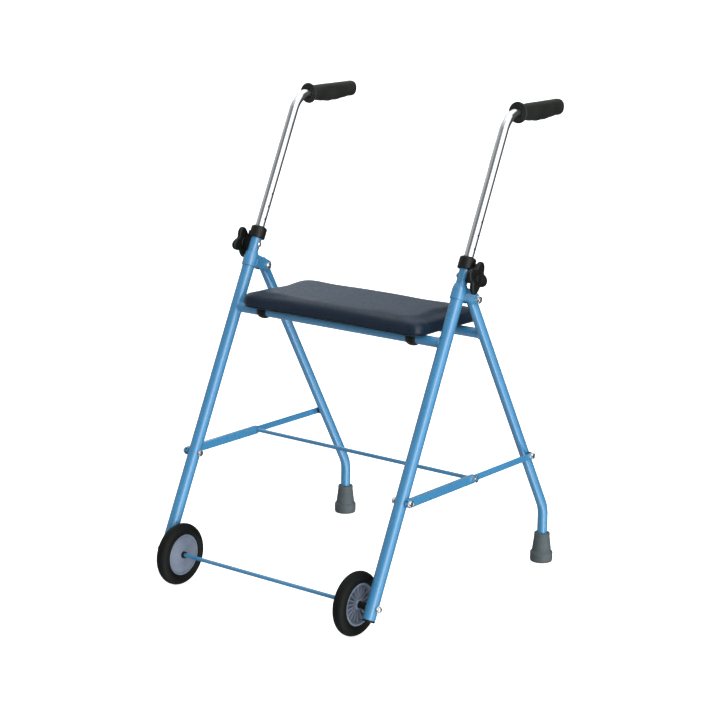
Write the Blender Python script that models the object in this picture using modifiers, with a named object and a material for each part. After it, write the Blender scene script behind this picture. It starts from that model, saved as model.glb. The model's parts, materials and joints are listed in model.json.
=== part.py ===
"""Folding walking frame with two wheels, two ferrules and a padded seat.

Metres, +Z up.  The user stands on the +Y side and walks towards -Y, so the
user's left is +X.  The origin is on the floor under the middle of the frame.
"""
from math import cos, pi, radians, sin, tan

import bmesh
import bpy
from mathutils import Matrix, Vector

# ---------------------------------------------------------------- dimensions
GAP = 0.0003                      # air between two pieces that touch

HALF_TRACK = 0.260                # X of the side frames' centre planes
FRONT_LEAN = radians(24.8)        # front legs, rearward from vertical
REAR_LEAN = radians(30.5)         # rear legs, forward from vertical
PIVOT_Y = 0.3275                  # hinge bolts, from the front legs' floor point
PIVOT_Z = 0.6035
REAR_BEND_Z = 0.1154              # where the rear legs turn upright

LEG_R, LEG_WALL = 0.0125, 0.0011
UPPER_R, UPPER_WALL = 0.0110, 0.0012
HANDLE_R, HANDLE_WALL = 0.0095, 0.0012
REAR_R, REAR_WALL = 0.0105, 0.0015
CROSS_R, CROSS_WALL = 0.0100, 0.0015

WHEEL_R, TYRE_HALF_WIDTH = 0.0625, 0.0135
RIM_R, RIM_HALF_WIDTH = 0.0415, 0.0100
HUB_HALF_WIDTH, HUB_BOSS_R, BUSH_R = 0.009, 0.011, 0.0068
RIB_PAIRS, RIB_T, RIB_H = 9, 0.0016, 0.0085
WHEEL_X = 0.222
AXLE_R = 0.004
AXLE_NUT_R, AXLE_NUT_H = 0.0072, 0.0085
FERRULE_R, FERRULE_TOP_R, FERRULE_H = 0.0235, 0.0162, 0.062
FERRULE_BASE_H, FERRULE_SOCKET_H = 0.021, 0.0115
REAR_TOP, REAR_BEND_R = 0.0125, 0.060     # leg above its hinge bolt; bend above the foot

LEG_FOOT_S = 0.046                # distances marked _S run along the front leg
LEG_TOP_S = 0.700
SLEEVE_LOW_S, SLEEVE_TOP_S = 0.6695, 0.6985
SLEEVE_R = 0.0147
CHEEK_R, CHEEK_T = 0.0115, 0.0024     # round end and thickness of the hinge cheeks
UPPER_LOW_S, UPPER_TOP_S = 0.640, 0.748
CLAMP_S = 0.7172
COLLAR_LOW_S, COLLAR_TOP_S = 0.730, 0.755
COLLAR_R = 0.0165
HOUSING_OUT_X, HOUSING_W = 0.0245, 0.011
KNOB_TIP_R, KNOB_VALLEY_R = 0.0325, 0.0205
KNOB_T, KNOB_BOSS_T, KNOB_BOSS_R = 0.0095, 0.0020, 0.0105
KNOB_TURN = {"left": 0.0, "right": radians(-32)}   # how each knob happens to stand
HANDLE_LOW_S = 0.590

GRIP_Z = 0.9475
HANDLE_BEND_R = 0.050
GRIP_START, GRIP_END = 0.032, 0.181   # along +Y from the handle's corner
HOLE_PITCH = 0.027
HOLES_ABOVE, HOLES_BELOW = 4, 2
HOLE_R = 0.0034

CROSS_FRONT_Z, CROSS_REAR_Z = 0.529, 0.526
BRACE_Z = 0.248
LINK_FLANGE = 0.0015
FRONT_LINK_H, FRONT_LINK_W = 0.017, 0.0085
REAR_LINK_H, REAR_LINK_W = 0.013, 0.0030
BOLT_R = 0.004
HEAD_R, HEAD_H = 0.0066, 0.0042
NUT_R, NUT_H = 0.0066, 0.0055
HINGE_HEAD_R, HINGE_HEAD_H = 0.0068, 0.0045
HINGE_NUT_R, HINGE_NUT_H = 0.0074, 0.0085
CLAMP_BOLT_R = 0.003
SPACER_R = 0.0085

SEAT_HALF_X = 0.226
SEAT_FRONT_Y, SEAT_BACK_Y = 0.205, 0.420
SEAT_CORNER_R = 0.028
BOARD_Z, BOARD_T = 0.5415, 0.0065
PAD_TOP_Z = 0.5718
BOARD_INSET = 0.012
PAD_EDGE_R = 0.008
CLIP_X, CLIP_W = 0.186, 0.020
CLIP_R, CLIP_EAR_T, CLIP_EAR_LENGTH = 0.0138, 0.0045, 0.048
SCREW_Y, SCREW_HOLE_R = 0.0235, 0.0022
REST_HALF_X, REST_HALF_Y = 0.013, 0.011

SEGMENTS = 20
WHEEL_SEGMENTS = 32
SMALL_SEGMENTS = 10
GRIP_SEGMENTS = 20
CUTTER_PHASE = 0.047              # turns cutters a little, off their targets' edges

# ------------------------------------------------------------ derived places
AXLE_S = WHEEL_R / cos(FRONT_LEAN)
PIVOT_S = PIVOT_Y * sin(FRONT_LEAN) + PIVOT_Z * cos(FRONT_LEAN)
PIVOT_Q = PIVOT_Y * cos(FRONT_LEAN) - PIVOT_Z * sin(FRONT_LEAN)
REAR_FOOT_Y = PIVOT_Y + (PIVOT_Z - REAR_BEND_Z) * tan(REAR_LEAN)
AXLE_Y = WHEEL_R * tan(FRONT_LEAN)
FRONT_Y = -(REAR_FOOT_Y + FERRULE_R + AXLE_Y - WHEEL_R) / 2
CROSS_FRONT_Y = CROSS_FRONT_Z * tan(FRONT_LEAN)
CROSS_REAR_Y = PIVOT_Y + (PIVOT_Z - CROSS_REAR_Z) * tan(REAR_LEAN)
BRACE_FRONT_Y = BRACE_Z * tan(FRONT_LEAN)
BRACE_REAR_Y = PIVOT_Y + (PIVOT_Z - BRACE_Z) * tan(REAR_LEAN)
BRACE_MID_Y = (BRACE_FRONT_Y + BRACE_REAR_Y) / 2
LINK_LENGTH = BRACE_MID_Y - BRACE_FRONT_Y
LINK_IN_X = LEG_R + GAP                       # inner face of the front link
REAR_LINK_X = LINK_IN_X + FRONT_LINK_W / 2    # middle plane of both links
LINK_OUT_X = LINK_IN_X + FRONT_LINK_W

SIDES = (("left", 1), ("right", -1))
OUTWARD = {1: (0, pi / 2, 0), -1: (0, -pi / 2, 0)}   # local +Z points away from X = 0
SIDE_PLANE = (pi / 2, 0, pi / 2)                     # local X, Y become world Y, Z

# ------------------------------------------------------------ scene and helpers
for old in list(bpy.data.objects):
    bpy.data.objects.remove(old, do_unlink=True)

PARTS = bpy.data.collections.new("walking_frame")
CUTTERS = bpy.data.collections.new("cutters")
for folder in (PARTS, CUTTERS):
    bpy.context.scene.collection.children.link(folder)


def material(name, colour, roughness, metallic=0.0):
    """A Principled BSDF material with one colour."""
    mat = bpy.data.materials.new(name)
    mat.use_nodes = True
    shader = mat.node_tree.nodes["Principled BSDF"]
    shader.inputs["Base Color"].default_value = (*colour, 1.0)
    shader.inputs["Roughness"].default_value = roughness
    shader.inputs["Metallic"].default_value = metallic
    return mat


BLUE = material("blue_paint", (0.055, 0.30, 0.62), 0.30)
CHROME = material("chrome", (0.80, 0.81, 0.82), 0.08, 1.0)
ZINC = material("zinc_plate", (0.70, 0.70, 0.68), 0.25, 1.0)
BLACK = material("black_plastic", (0.012, 0.012, 0.013), 0.38)
GRIP_RUBBER = material("grip_rubber", (0.015, 0.015, 0.016), 0.55)
TYRE_RUBBER = material("tyre_rubber", (0.014, 0.014, 0.015), 0.60)
HUB_GREY = material("hub_grey", (0.33, 0.35, 0.42), 0.40)
FERRULE_GREY = material("ferrule_rubber", (0.085, 0.11, 0.11), 0.70)
VINYL = material("navy_vinyl", (0.010, 0.020, 0.055), 0.35)
PLYWOOD = material("plywood", (0.35, 0.23, 0.12), 0.70)


def place(obj, mat, parent=None, location=(0, 0, 0), rotation=(0, 0, 0)):
    """Give a finished object its material, parent and place."""
    obj.data.materials.clear()
    obj.data.materials.append(mat)
    obj.parent = parent
    obj.location = location
    obj.rotation_euler = rotation
    return obj


def empty(name, location, rotation=(0, 0, 0), parent=None):
    """A frame of reference for the pieces of one body."""
    obj = bpy.data.objects.new(name, None)
    obj.empty_display_size = 0.03
    PARTS.objects.link(obj)
    obj.parent = parent
    obj.location = location
    obj.rotation_euler = rotation
    return obj


def shade(mesh, angle=35):
    """Smooth round faces and keep edges sharper than the angle."""
    mesh.shade_smooth()
    mesh.set_sharp_from_angle(angle=radians(angle))


def bmesh_object(name, bm, folder=PARTS):
    """Turn a bmesh into an object of the folder."""
    bmesh.ops.recalc_face_normals(bm, faces=bm.faces)
    mesh = bpy.data.meshes.new(name)
    bm.to_mesh(mesh)
    bm.free()
    shade(mesh)
    obj = bpy.data.objects.new(name, mesh)
    folder.objects.link(obj)
    return obj


def turned(name, profile, closed=False, steps=SEGMENTS, folder=PARTS, phase=0.0):
    """Spin an (r, z) profile about Z; it runs down its outer side."""
    mesh = bpy.data.meshes.new(name)
    verts = [(r * cos(phase), r * sin(phase), z) for r, z in profile]
    edges = [(i, i + 1) for i in range(len(verts) - 1)]
    if closed:
        edges.append((len(verts) - 1, 0))
    mesh.from_pydata(verts, edges, [])
    obj = bpy.data.objects.new(name, mesh)
    folder.objects.link(obj)
    screw = obj.modifiers.new("Screw", 'SCREW')
    screw.steps = steps
    screw.render_steps = steps
    screw.use_merge_vertices = True
    screw.merge_threshold = 0.00001
    screw.use_smooth_shade = True
    return obj


def pipe(name, outer, wall, low, high, steps=SEGMENTS):
    """A straight tube along Z."""
    inner = outer - wall
    profile = [(outer, high), (outer, low), (inner, low), (inner, high)]
    return turned(name, profile, closed=True, steps=steps)


def round_cutter(name, profile, parent=None, location=(0, 0, 0), rotation=(0, 0, 0), steps=SMALL_SEGMENTS):
    """A cutter turned about its local Z."""
    obj = turned(name, profile, steps=steps, folder=CUTTERS, phase=CUTTER_PHASE)
    return as_cutter(obj, parent, location, rotation)


def rod_cutter(name, radius, low, high, parent=None, location=(0, 0, 0), rotation=(0, 0, 0),
               steps=SMALL_SEGMENTS):
    """A straight round cutter along its local Z."""
    profile = [(0, high), (radius, high), (radius, low), (0, low)]
    return round_cutter(name, profile, parent, location, rotation, steps)


def box_cutter(name, size, parent=None, location=(0, 0, 0), rotation=(0, 0, 0)):
    """A box cutter centred on its origin."""
    bm = bmesh.new()
    bmesh.ops.create_cube(bm, size=1.0, matrix=Matrix.Diagonal((*size, 1.0)))
    return as_cutter(bmesh_object(name, bm, CUTTERS), parent, location, rotation)


def as_cutter(obj, parent, location, rotation):
    """Hide a cutter and put it in its place."""
    obj.hide_render = True
    obj.display_type = 'WIRE'
    obj.parent = parent
    obj.location = location
    obj.rotation_euler = rotation
    return obj


def cut(obj, tool, operation='DIFFERENCE'):
    """Add one exact Boolean to an object."""
    boolean = obj.modifiers.new(tool.name, 'BOOLEAN')
    boolean.operation = operation
    boolean.solver = 'EXACT'
    boolean.object = tool
    return obj


def curve_to_mesh(obj):
    """Replace a curve object by its mesh, with the caps welded on."""
    name = obj.name
    bpy.context.view_layer.update()
    graph = bpy.context.evaluated_depsgraph_get()
    mesh = bpy.data.meshes.new_from_object(obj.evaluated_get(graph))
    bm = bmesh.new()
    bm.from_mesh(mesh)
    bmesh.ops.remove_doubles(bm, verts=bm.verts, dist=0.00001)
    bm.to_mesh(mesh)
    bm.free()
    shade(mesh)
    solid = bpy.data.objects.new(name, mesh)
    solid.matrix_world = obj.matrix_world
    PARTS.objects.link(solid)
    bpy.data.objects.remove(obj, do_unlink=True)
    solid.name = name
    return solid


def plate(name, outline, thickness):
    """A flat plate: a closed outline in X, Y with its thickness along Z."""
    curve = bpy.data.curves.new(name, 'CURVE')
    curve.dimensions = '2D'
    curve.fill_mode = 'BOTH'
    curve.extrude = thickness / 2
    spline = curve.splines.new('POLY')
    spline.points.add(len(outline) - 1)
    for point, (x, y) in zip(spline.points, outline):
        point.co = (x, y, 0.0, 1.0)
    spline.use_cyclic_u = True
    obj = bpy.data.objects.new(name, curve)
    PARTS.objects.link(obj)
    return curve_to_mesh(obj)


def bent_tube(name, path, outer, wall):
    """A hollow tube whose middle line is the path."""
    curve = bpy.data.curves.new(name, 'CURVE')
    curve.dimensions = '3D'
    curve.bevel_depth = outer
    curve.bevel_resolution = SEGMENTS // 2 - 2
    spline = curve.splines.new('POLY')
    spline.points.add(len(path) - 1)
    for point, place_ in zip(spline.points, path):
        point.co = (*place_, 1.0)
    obj = bpy.data.objects.new(name, curve)
    PARTS.objects.link(obj)
    solid = curve_to_mesh(obj)
    shell = solid.modifiers.new("Wall", 'SOLIDIFY')
    shell.thickness = wall
    shell.offset = -1.0
    shell.use_even_offset = True
    return solid


def arc(cx, cy, radius, start, end, count):
    """Points on a circular arc, both ends included."""
    step = (end - start) / (count - 1)
    return [(cx + radius * cos(start + i * step), cy + radius * sin(start + i * step))
            for i in range(count)]


def filleted(start, corner, end, radius, count):
    """A path with two straight runs and a round corner between them."""
    start, corner, end = Vector(start), Vector(corner), Vector(end)
    back = (start - corner).normalized()
    ahead = (end - corner).normalized()
    half = back.angle(ahead) / 2
    reach = radius / tan(half)
    centre = corner + (back + ahead).normalized() * (radius / sin(half))
    first = corner + back * reach - centre
    last = corner + ahead * reach - centre
    sweep = first.angle(last)
    bend = [centre + (first * sin(sweep * (1 - t)) + last * sin(sweep * t)) / sin(sweep)
            for t in (i / (count - 1) for i in range(count))]
    return [start, *bend, end]


def stadium(length, radius, count=7):
    """Outline of a link: its pivots are at x = 0 and x = length."""
    return (arc(0, 0, radius, pi / 2, 3 * pi / 2, count)
            + arc(length, 0, radius, -pi / 2, pi / 2, count))


def rounded_rectangle(half_x, half_y, radius, count=5):
    """Outline of a rectangle with round corners, centred on the origin."""
    points = []
    for quarter, (sx, sy) in enumerate(((1, 1), (-1, 1), (-1, -1), (1, -1))):
        start = quarter * pi / 2
        points += arc(sx * (half_x - radius), sy * (half_y - radius), radius, start, start + pi / 2, count)
    return points


def bolt(name, shank_r, shank_end, head_r, head_h):
    """A bolt on local Z: its head is above z = 0 and its shank ends at shank_end."""
    rim = head_h * 0.55
    profile = [(0, head_h), (head_r * 0.62, head_h * 0.92), (head_r, rim), (head_r, 0),
               (shank_r, 0), (shank_r, shank_end), (0, shank_end)]
    return turned(name, profile, steps=SMALL_SEGMENTS)


def nut(name, hole_r, radius, height):
    """A nut standing on z = 0 with its hole along Z."""
    edge = height * 0.8
    profile = [(radius * 0.85, height), (radius, edge), (radius, 0), (hole_r, 0), (hole_r, height)]
    return turned(name, profile, closed=True, steps=SMALL_SEGMENTS)


def cap_nut(name, hole_r, radius, height):
    """A closed nut standing on z = 0 with a blind hole from below."""
    depth = height * 0.7
    profile = [(0, height), (radius * 0.6, height * 0.93), (radius, height * 0.6), (radius, 0),
               (hole_r, 0), (hole_r, depth), (0, depth)]
    return turned(name, profile, steps=SMALL_SEGMENTS)


# ------------------------------------------------------------ frames of reference
FRONT_AXIS, REAR_AXIS = {}, {}
for side, sign in SIDES:
    FRONT_AXIS[side] = empty("front_axis_" + side, (sign * HALF_TRACK, FRONT_Y, 0), (-FRONT_LEAN, 0, 0))
    REAR_AXIS[side] = empty("rear_axis_" + side, (sign * HALF_TRACK, FRONT_Y + PIVOT_Y, PIVOT_Z),
                            (REAR_LEAN, 0, 0))
SEAT_AXIS = empty("seat_axis", (0, FRONT_Y + CROSS_FRONT_Y, CROSS_FRONT_Z))


# ------------------------------------------------------------ front frame
def front_leg(side, sign):
    """Front leg tube with its axle hole and its brace bolt hole."""
    axis = FRONT_AXIS[side]
    leg = pipe("front_leg_" + side, LEG_R, LEG_WALL, LEG_FOOT_S, LEG_TOP_S)
    place(leg, BLUE, axis)
    brace_s = BRACE_Z / cos(FRONT_LEAN)
    for label, distance, radius in (("axle", AXLE_S, AXLE_R), ("brace", brace_s, BOLT_R)):
        tool = rod_cutter(f"{label}_hole_{side}", radius + GAP, -0.03, 0.03, axis, (0, 0, distance),
                          OUTWARD[sign])
        cut(leg, tool)


def leg_plug(side):
    """Plastic plug that closes the foot of the front leg."""
    inside = LEG_R - LEG_WALL - GAP
    profile = [(0, 0.014), (inside, 0.014), (inside, 0), (LEG_R, 0), (LEG_R, -0.0025),
               (LEG_R * 0.8, -0.0035), (0, -0.0035)]
    place(turned("leg_plug_" + side, profile), BLACK, FRONT_AXIS[side], (0, 0, LEG_FOOT_S - GAP))


def upper_tube(side, sign):
    """Narrower blue tube above the hinge, with the clamp bolt's hole."""
    axis = FRONT_AXIS[side]
    tube = pipe("upper_tube_" + side, UPPER_R, UPPER_WALL, UPPER_LOW_S, UPPER_TOP_S)
    place(tube, BLUE, axis)
    cut(tube, rod_cutter("clamp_hole_" + side, HOLE_R, -0.03, 0.03, axis, (0, 0, CLAMP_S), OUTWARD[sign]))


def hinge_bracket(side, sign):
    """Sleeve round the leg with two cheeks that hold the rear leg's top."""
    axis = FRONT_AXIS[side]
    slot = REAR_R + 0.0004
    cheek_x = slot + CHEEK_T
    step = 0.0015                     # the cheeks are shorter than the sleeve by this
    low = SLEEVE_LOW_S + step - PIVOT_S
    high = SLEEVE_TOP_S - step - PIVOT_S
    outline = [(0, high), (0, low)] + arc(PIVOT_Q, 0, CHEEK_R, -pi / 2, pi / 2, 11)
    bracket = plate("hinge_bracket_" + side, outline, 2 * cheek_x)
    place(bracket, BLUE, axis, (0, 0, PIVOT_S), SIDE_PLANE)
    gap_start = SLEEVE_R + 0.0025
    gap_length = 0.06
    cut(bracket, box_cutter("cheek_slot_" + side, (2 * slot, gap_length, 0.08), axis,
                            (0, gap_start + gap_length / 2, PIVOT_S)))
    cut(bracket, rod_cutter("hinge_hole_" + side, BOLT_R + GAP, -0.03, 0.03, axis,
                            (0, PIVOT_Q, PIVOT_S), OUTWARD[sign]))
    sleeve = rod_cutter("sleeve_" + side, SLEEVE_R, SLEEVE_LOW_S, SLEEVE_TOP_S, axis, steps=SEGMENTS)
    cut(bracket, sleeve, 'UNION')
    cut(bracket, rod_cutter("leg_bore_" + side, LEG_R + GAP, 0.6, 0.8, axis, steps=SEGMENTS))
    length = 2 * (cheek_x + GAP) + HINGE_NUT_H + 0.001
    head = bolt("hinge_bolt_" + side, BOLT_R, -length, HINGE_HEAD_R, HINGE_HEAD_H)
    place(head, ZINC, axis, (-sign * (cheek_x + GAP), PIVOT_Q, PIVOT_S), OUTWARD[-sign])
    place(nut("hinge_nut_" + side, BOLT_R + GAP, HINGE_NUT_R, HINGE_NUT_H), ZINC, axis,
          (sign * (cheek_x + GAP), PIVOT_Q, PIVOT_S), OUTWARD[sign])


def cross_tube(name, y, z, lean, leg_r):
    """Tube between two legs, with its ends shaped to the legs."""
    tube = pipe(name, CROSS_R, CROSS_WALL, -HALF_TRACK, HALF_TRACK)
    place(tube, BLUE, None, (0, FRONT_Y + y, z), (0, pi / 2, 0))
    for side, sign in SIDES:
        tool = rod_cutter(f"{name}_end_{side}", leg_r + GAP, -0.06, 0.06, None,
                          (sign * HALF_TRACK, FRONT_Y + y, z), (lean, 0, 0), steps=SEGMENTS)
        cut(tube, tool)


def axle():
    """Thin rod that joins the front legs and carries both wheels."""
    end = HALF_TRACK + LEG_R + 0.005
    profile = [(0, end), (AXLE_R, end), (AXLE_R, -end), (0, -end)]
    rod = turned("axle_rod", profile, steps=16)
    place(rod, BLUE, None, (0, FRONT_Y + AXLE_Y, WHEEL_R), (0, pi / 2, 0))
    for side, sign in SIDES:
        cap = cap_nut("axle_nut_" + side, AXLE_R + GAP, AXLE_NUT_R, AXLE_NUT_H)
        place(cap, ZINC, None, (sign * (HALF_TRACK + LEG_R + GAP), FRONT_Y + AXLE_Y, WHEEL_R), OUTWARD[sign])


def brace_front_bolt(side, sign):
    """Bolt and nut that hold the front link on the front leg."""
    axis = FRONT_AXIS[side]
    distance = BRACE_Z / cos(FRONT_LEAN)
    length = LINK_OUT_X + GAP + LEG_R + 0.006
    head = bolt("front_brace_bolt_" + side, BOLT_R, -length, HEAD_R, HEAD_H)
    place(head, ZINC, axis, (sign * (LINK_OUT_X + GAP), 0, distance), OUTWARD[sign])
    place(nut("front_brace_nut_" + side, BOLT_R + GAP, NUT_R, NUT_H), ZINC, axis,
          (-sign * (LEG_R + GAP), 0, distance), OUTWARD[-sign])


# ------------------------------------------------------------ height clamp
def clamp_collar(side, sign):
    """Collar on the upper tube with a housing down its outer side."""
    axis = FRONT_AXIS[side]
    lip = 0.003
    tight = HANDLE_R + GAP
    loose = UPPER_R + GAP
    lip_s = UPPER_TOP_S + GAP
    profile = [(0, COLLAR_TOP_S), (COLLAR_R - 0.0015, COLLAR_TOP_S), (COLLAR_R, COLLAR_TOP_S - lip),
               (COLLAR_R, COLLAR_LOW_S), (0, COLLAR_LOW_S)]
    collar = turned("clamp_collar_" + side, profile)
    place(collar, BLACK, axis)
    low, high = CLAMP_S - 0.0115, COLLAR_LOW_S + 0.006
    inner = 0.004
    housing = box_cutter("housing_" + side, (HOUSING_OUT_X - inner, HOUSING_W, high - low), axis,
                         (sign * (inner + HOUSING_OUT_X) / 2, 0, (low + high) / 2))
    cut(collar, housing, 'UNION')
    stepped = [(0, 0.80), (tight, 0.80), (tight, lip_s), (loose, lip_s), (loose, 0.68), (0, 0.68)]
    cut(collar, round_cutter("tube_bore_" + side, stepped, axis, steps=SEGMENTS))
    cut(collar, rod_cutter("stud_bore_" + side, HOLE_R, -0.04, 0.04, axis, (0, 0, CLAMP_S), OUTWARD[sign]))
    reach = UPPER_R + GAP + HOUSING_OUT_X + 0.0065
    head = bolt("clamp_bolt_" + side, CLAMP_BOLT_R, -reach, 0.0055, 0.0040)
    place(head, ZINC, axis, (-sign * (UPPER_R + GAP), 0, CLAMP_S), OUTWARD[-sign])


def knob(side, sign):
    """Four-lobed knob that tightens the clamp, on the clamp bolt's axis."""
    axis = FRONT_AXIS[side]
    count = 48
    outline = []
    for i in range(count):
        angle = 2 * pi * i / count
        lobe = (0.5 + 0.5 * cos(4 * (angle - KNOB_TURN[side]))) ** 0.9
        radius = KNOB_VALLEY_R + (KNOB_TIP_R - KNOB_VALLEY_R) * lobe
        outline.append((radius * cos(angle), radius * sin(angle)))
    inside = HOUSING_OUT_X + GAP
    half = KNOB_T / 2
    lobes = plate("knob_" + side, outline, KNOB_T)
    place(lobes, BLACK, axis, (sign * (inside + KNOB_BOSS_T + half), 0, CLAMP_S), OUTWARD[sign])
    cut(lobes, rod_cutter("knob_boss_" + side, KNOB_BOSS_R, -half - KNOB_BOSS_T, 0, lobes), 'UNION')
    cut(lobes, rod_cutter("knob_bore_" + side, HOLE_R, -0.02, 0.0025, lobes))


# ------------------------------------------------------------ handles
def handle(side, sign):
    """Chromed handle tube with its row of height holes."""
    axis = FRONT_AXIS[side]
    corner_s = GRIP_Z / cos(FRONT_LEAN)
    ahead = Vector((0, cos(FRONT_LEAN), sin(FRONT_LEAN)))
    corner = Vector((0, 0, corner_s))
    end = corner + ahead * (GRIP_END - 0.006)
    path = filleted((0, 0, HANDLE_LOW_S), corner, end, HANDLE_BEND_R, 7)
    tube = bent_tube("handle_tube_" + side, path, HANDLE_R, HANDLE_WALL)
    place(tube, CHROME, axis)
    for i in range(-HOLES_BELOW, HOLES_ABOVE + 1):
        hole = rod_cutter(f"height_hole_{side}_{i + HOLES_BELOW}", HOLE_R, -0.03, 0.03, axis,
                          (0, 0, CLAMP_S + i * HOLE_PITCH), OUTWARD[sign], steps=8)
        cut(tube, hole)


def grip_section(t):
    """Half width, top and bottom of the grip at a fraction t of its length."""
    flange = max(0.0, 1.0 - t / 0.055)
    palm = sin(pi * min(1.0, max(0.0, (t - 0.08) / 0.70))) ** 1.5
    swell = max(0.0, (t - 0.86) / 0.14)
    half = 0.0150 + 0.0062 * flange + 0.0015 * palm + 0.0012 * swell
    top = 0.0155 + 0.0055 * flange + 0.0010 * palm + 0.0012 * swell
    bottom = 0.0150 + 0.0062 * flange + 0.0062 * palm + 0.0010 * swell
    return half, top, bottom


def grip(side):
    """Moulded grip: a loft of flattened rings along +Y, closed at its end."""
    axis = FRONT_AXIS[side]
    bm = bmesh.new()
    length = GRIP_END - GRIP_START
    stations = [0.0, 0.03, 0.06, 0.12, 0.24, 0.36, 0.48, 0.60, 0.74, 0.88, 0.97, 1.0]
    rings = []
    for t in stations:
        half, top, bottom = grip_section(t)
        pinch = 0.72 if t == 1.0 else 1.0
        ring = []
        for i in range(GRIP_SEGMENTS):
            angle = 2 * pi * i / GRIP_SEGMENTS
            height = top if sin(angle) > 0 else bottom
            ring.append(bm.verts.new((half * pinch * cos(angle), t * length, height * pinch * sin(angle))))
        rings.append(ring)
    for near, far in zip(rings, rings[1:]):
        for i in range(GRIP_SEGMENTS):
            j = (i + 1) % GRIP_SEGMENTS
            bm.faces.new((near[i], near[j], far[j], far[i]))
    bm.faces.new(rings[0])
    bm.faces.new(rings[-1])
    body = bmesh_object("grip_" + side, bm)
    corner_s = GRIP_Z / cos(FRONT_LEAN)
    start = Vector((0, GRIP_START * cos(FRONT_LEAN), corner_s + GRIP_START * sin(FRONT_LEAN)))
    place(body, GRIP_RUBBER, axis, start, (FRONT_LEAN, 0, 0))
    bore = rod_cutter("grip_bore_" + side, HANDLE_R + GAP, -0.02, length - 0.005, body, (0, 0, 0),
                      (-pi / 2, 0, 0), steps=SEGMENTS)
    cut(body, bore)


# ------------------------------------------------------------ wheels
def wheel(side, sign):
    """Tyre, hub and bush of one wheel, turned about the axle."""
    centre = (sign * WHEEL_X, FRONT_Y + AXLE_Y, WHEEL_R)
    seat = RIM_R + GAP
    round_r = WHEEL_R - TYRE_HALF_WIDTH
    profile = arc(round_r, 0, TYRE_HALF_WIDTH, pi / 2, -pi / 2, 9)
    profile += [(seat, -RIM_HALF_WIDTH), (seat, RIM_HALF_WIDTH)]
    tyre = turned("tyre_" + side, profile, closed=True, steps=WHEEL_SEGMENTS)
    place(tyre, TYRE_RUBBER, None, centre, OUTWARD[sign])

    rim = RIM_HALF_WIDTH
    face = HUB_HALF_WIDTH
    web_r, lip_r = 0.0355, 0.0372     # flat of the disc, and the inside of the rim's lip
    foot_r = HUB_BOSS_R + 0.0015
    profile = [(0, face), (HUB_BOSS_R, face), (foot_r, 0.001), (web_r, 0.0005), (lip_r, rim), (RIM_R, rim),
               (RIM_R, -rim), (lip_r, -rim), (web_r, -0.0045), (foot_r, -0.0035), (HUB_BOSS_R, -face),
               (0, -face)]
    hub = turned("hub_" + side, profile, steps=WHEEL_SEGMENTS)
    place(hub, HUB_GREY, None, centre, OUTWARD[sign])
    rib_size = (web_r + lip_r, RIB_T, RIB_H)
    rib_z = 0.0035
    for i in range(RIB_PAIRS):
        turn = (0, 0, i * pi / RIB_PAIRS)
        cut(hub, box_cutter(f"rib_{side}_{i}", rib_size, hub, (0, 0, rib_z), turn), 'UNION')
    cut(hub, rod_cutter("hub_bore_" + side, BUSH_R + GAP, -0.02, 0.02, hub, steps=16))
    outer_end = HALF_TRACK - LEG_R - 0.0008 - WHEEL_X
    bush = pipe("hub_bush_" + side, BUSH_R, BUSH_R - AXLE_R - GAP, -TYRE_HALF_WIDTH, outer_end, steps=16)
    place(bush, BLACK, None, centre, OUTWARD[sign])


# ------------------------------------------------------------ rear frame
def rear_leg(side, sign):
    """Rear leg: straight from the hinge, then bent upright into its ferrule."""
    axis = REAR_AXIS[side]
    run = (PIVOT_Z - REAR_BEND_Z) / cos(REAR_LEAN)
    corner = Vector((0, 0, -run))
    down = Vector((0, -sin(REAR_LEAN), -cos(REAR_LEAN)))
    foot_z = 0.012
    end = corner + down * (REAR_BEND_Z - foot_z)
    path = filleted((0, 0, REAR_TOP), corner, end, REAR_BEND_R, 5)
    tube = bent_tube("rear_leg_" + side, path, REAR_R, REAR_WALL)
    place(tube, BLUE, axis)
    cut(tube, rod_cutter("rear_hinge_hole_" + side, BOLT_R + GAP, -0.03, 0.03, axis,
                         rotation=OUTWARD[sign]))


def ferrule(side, sign):
    """Rubber foot with a blind bore for the rear leg."""
    bore = REAR_R + GAP
    edge = 0.002
    profile = [(0, FERRULE_SOCKET_H), (bore, FERRULE_SOCKET_H), (bore, FERRULE_H),
               (FERRULE_TOP_R - edge / 2, FERRULE_H), (FERRULE_TOP_R, FERRULE_H - edge),
               (FERRULE_R - 0.0035, FERRULE_BASE_H + 0.003), (FERRULE_R, FERRULE_BASE_H),
               (FERRULE_R, edge), (FERRULE_R - edge, 0), (0, 0)]
    ring = turned("ferrule_" + side, profile)
    place(ring, FERRULE_GREY, None, (sign * HALF_TRACK, FRONT_Y + REAR_FOOT_Y, 0))


def brace_spacer(side, sign):
    """Plastic spacer between the rear leg and the rear link."""
    outer = REAR_LINK_X - REAR_LINK_W / 2 - GAP
    profile = [(0, outer), (SPACER_R - 0.0007, outer), (SPACER_R, 0), (0, 0)]
    spacer = turned("brace_spacer_" + side, profile, steps=16)
    at_b = (PIVOT_Z - BRACE_Z) / cos(REAR_LEAN)
    place(spacer, BLACK, REAR_AXIS[side], (0, 0, -at_b), OUTWARD[sign])
    cut(spacer, rod_cutter("spacer_seat_" + side, REAR_R + GAP, -0.5, 0, REAR_AXIS[side], steps=SEGMENTS))


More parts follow.
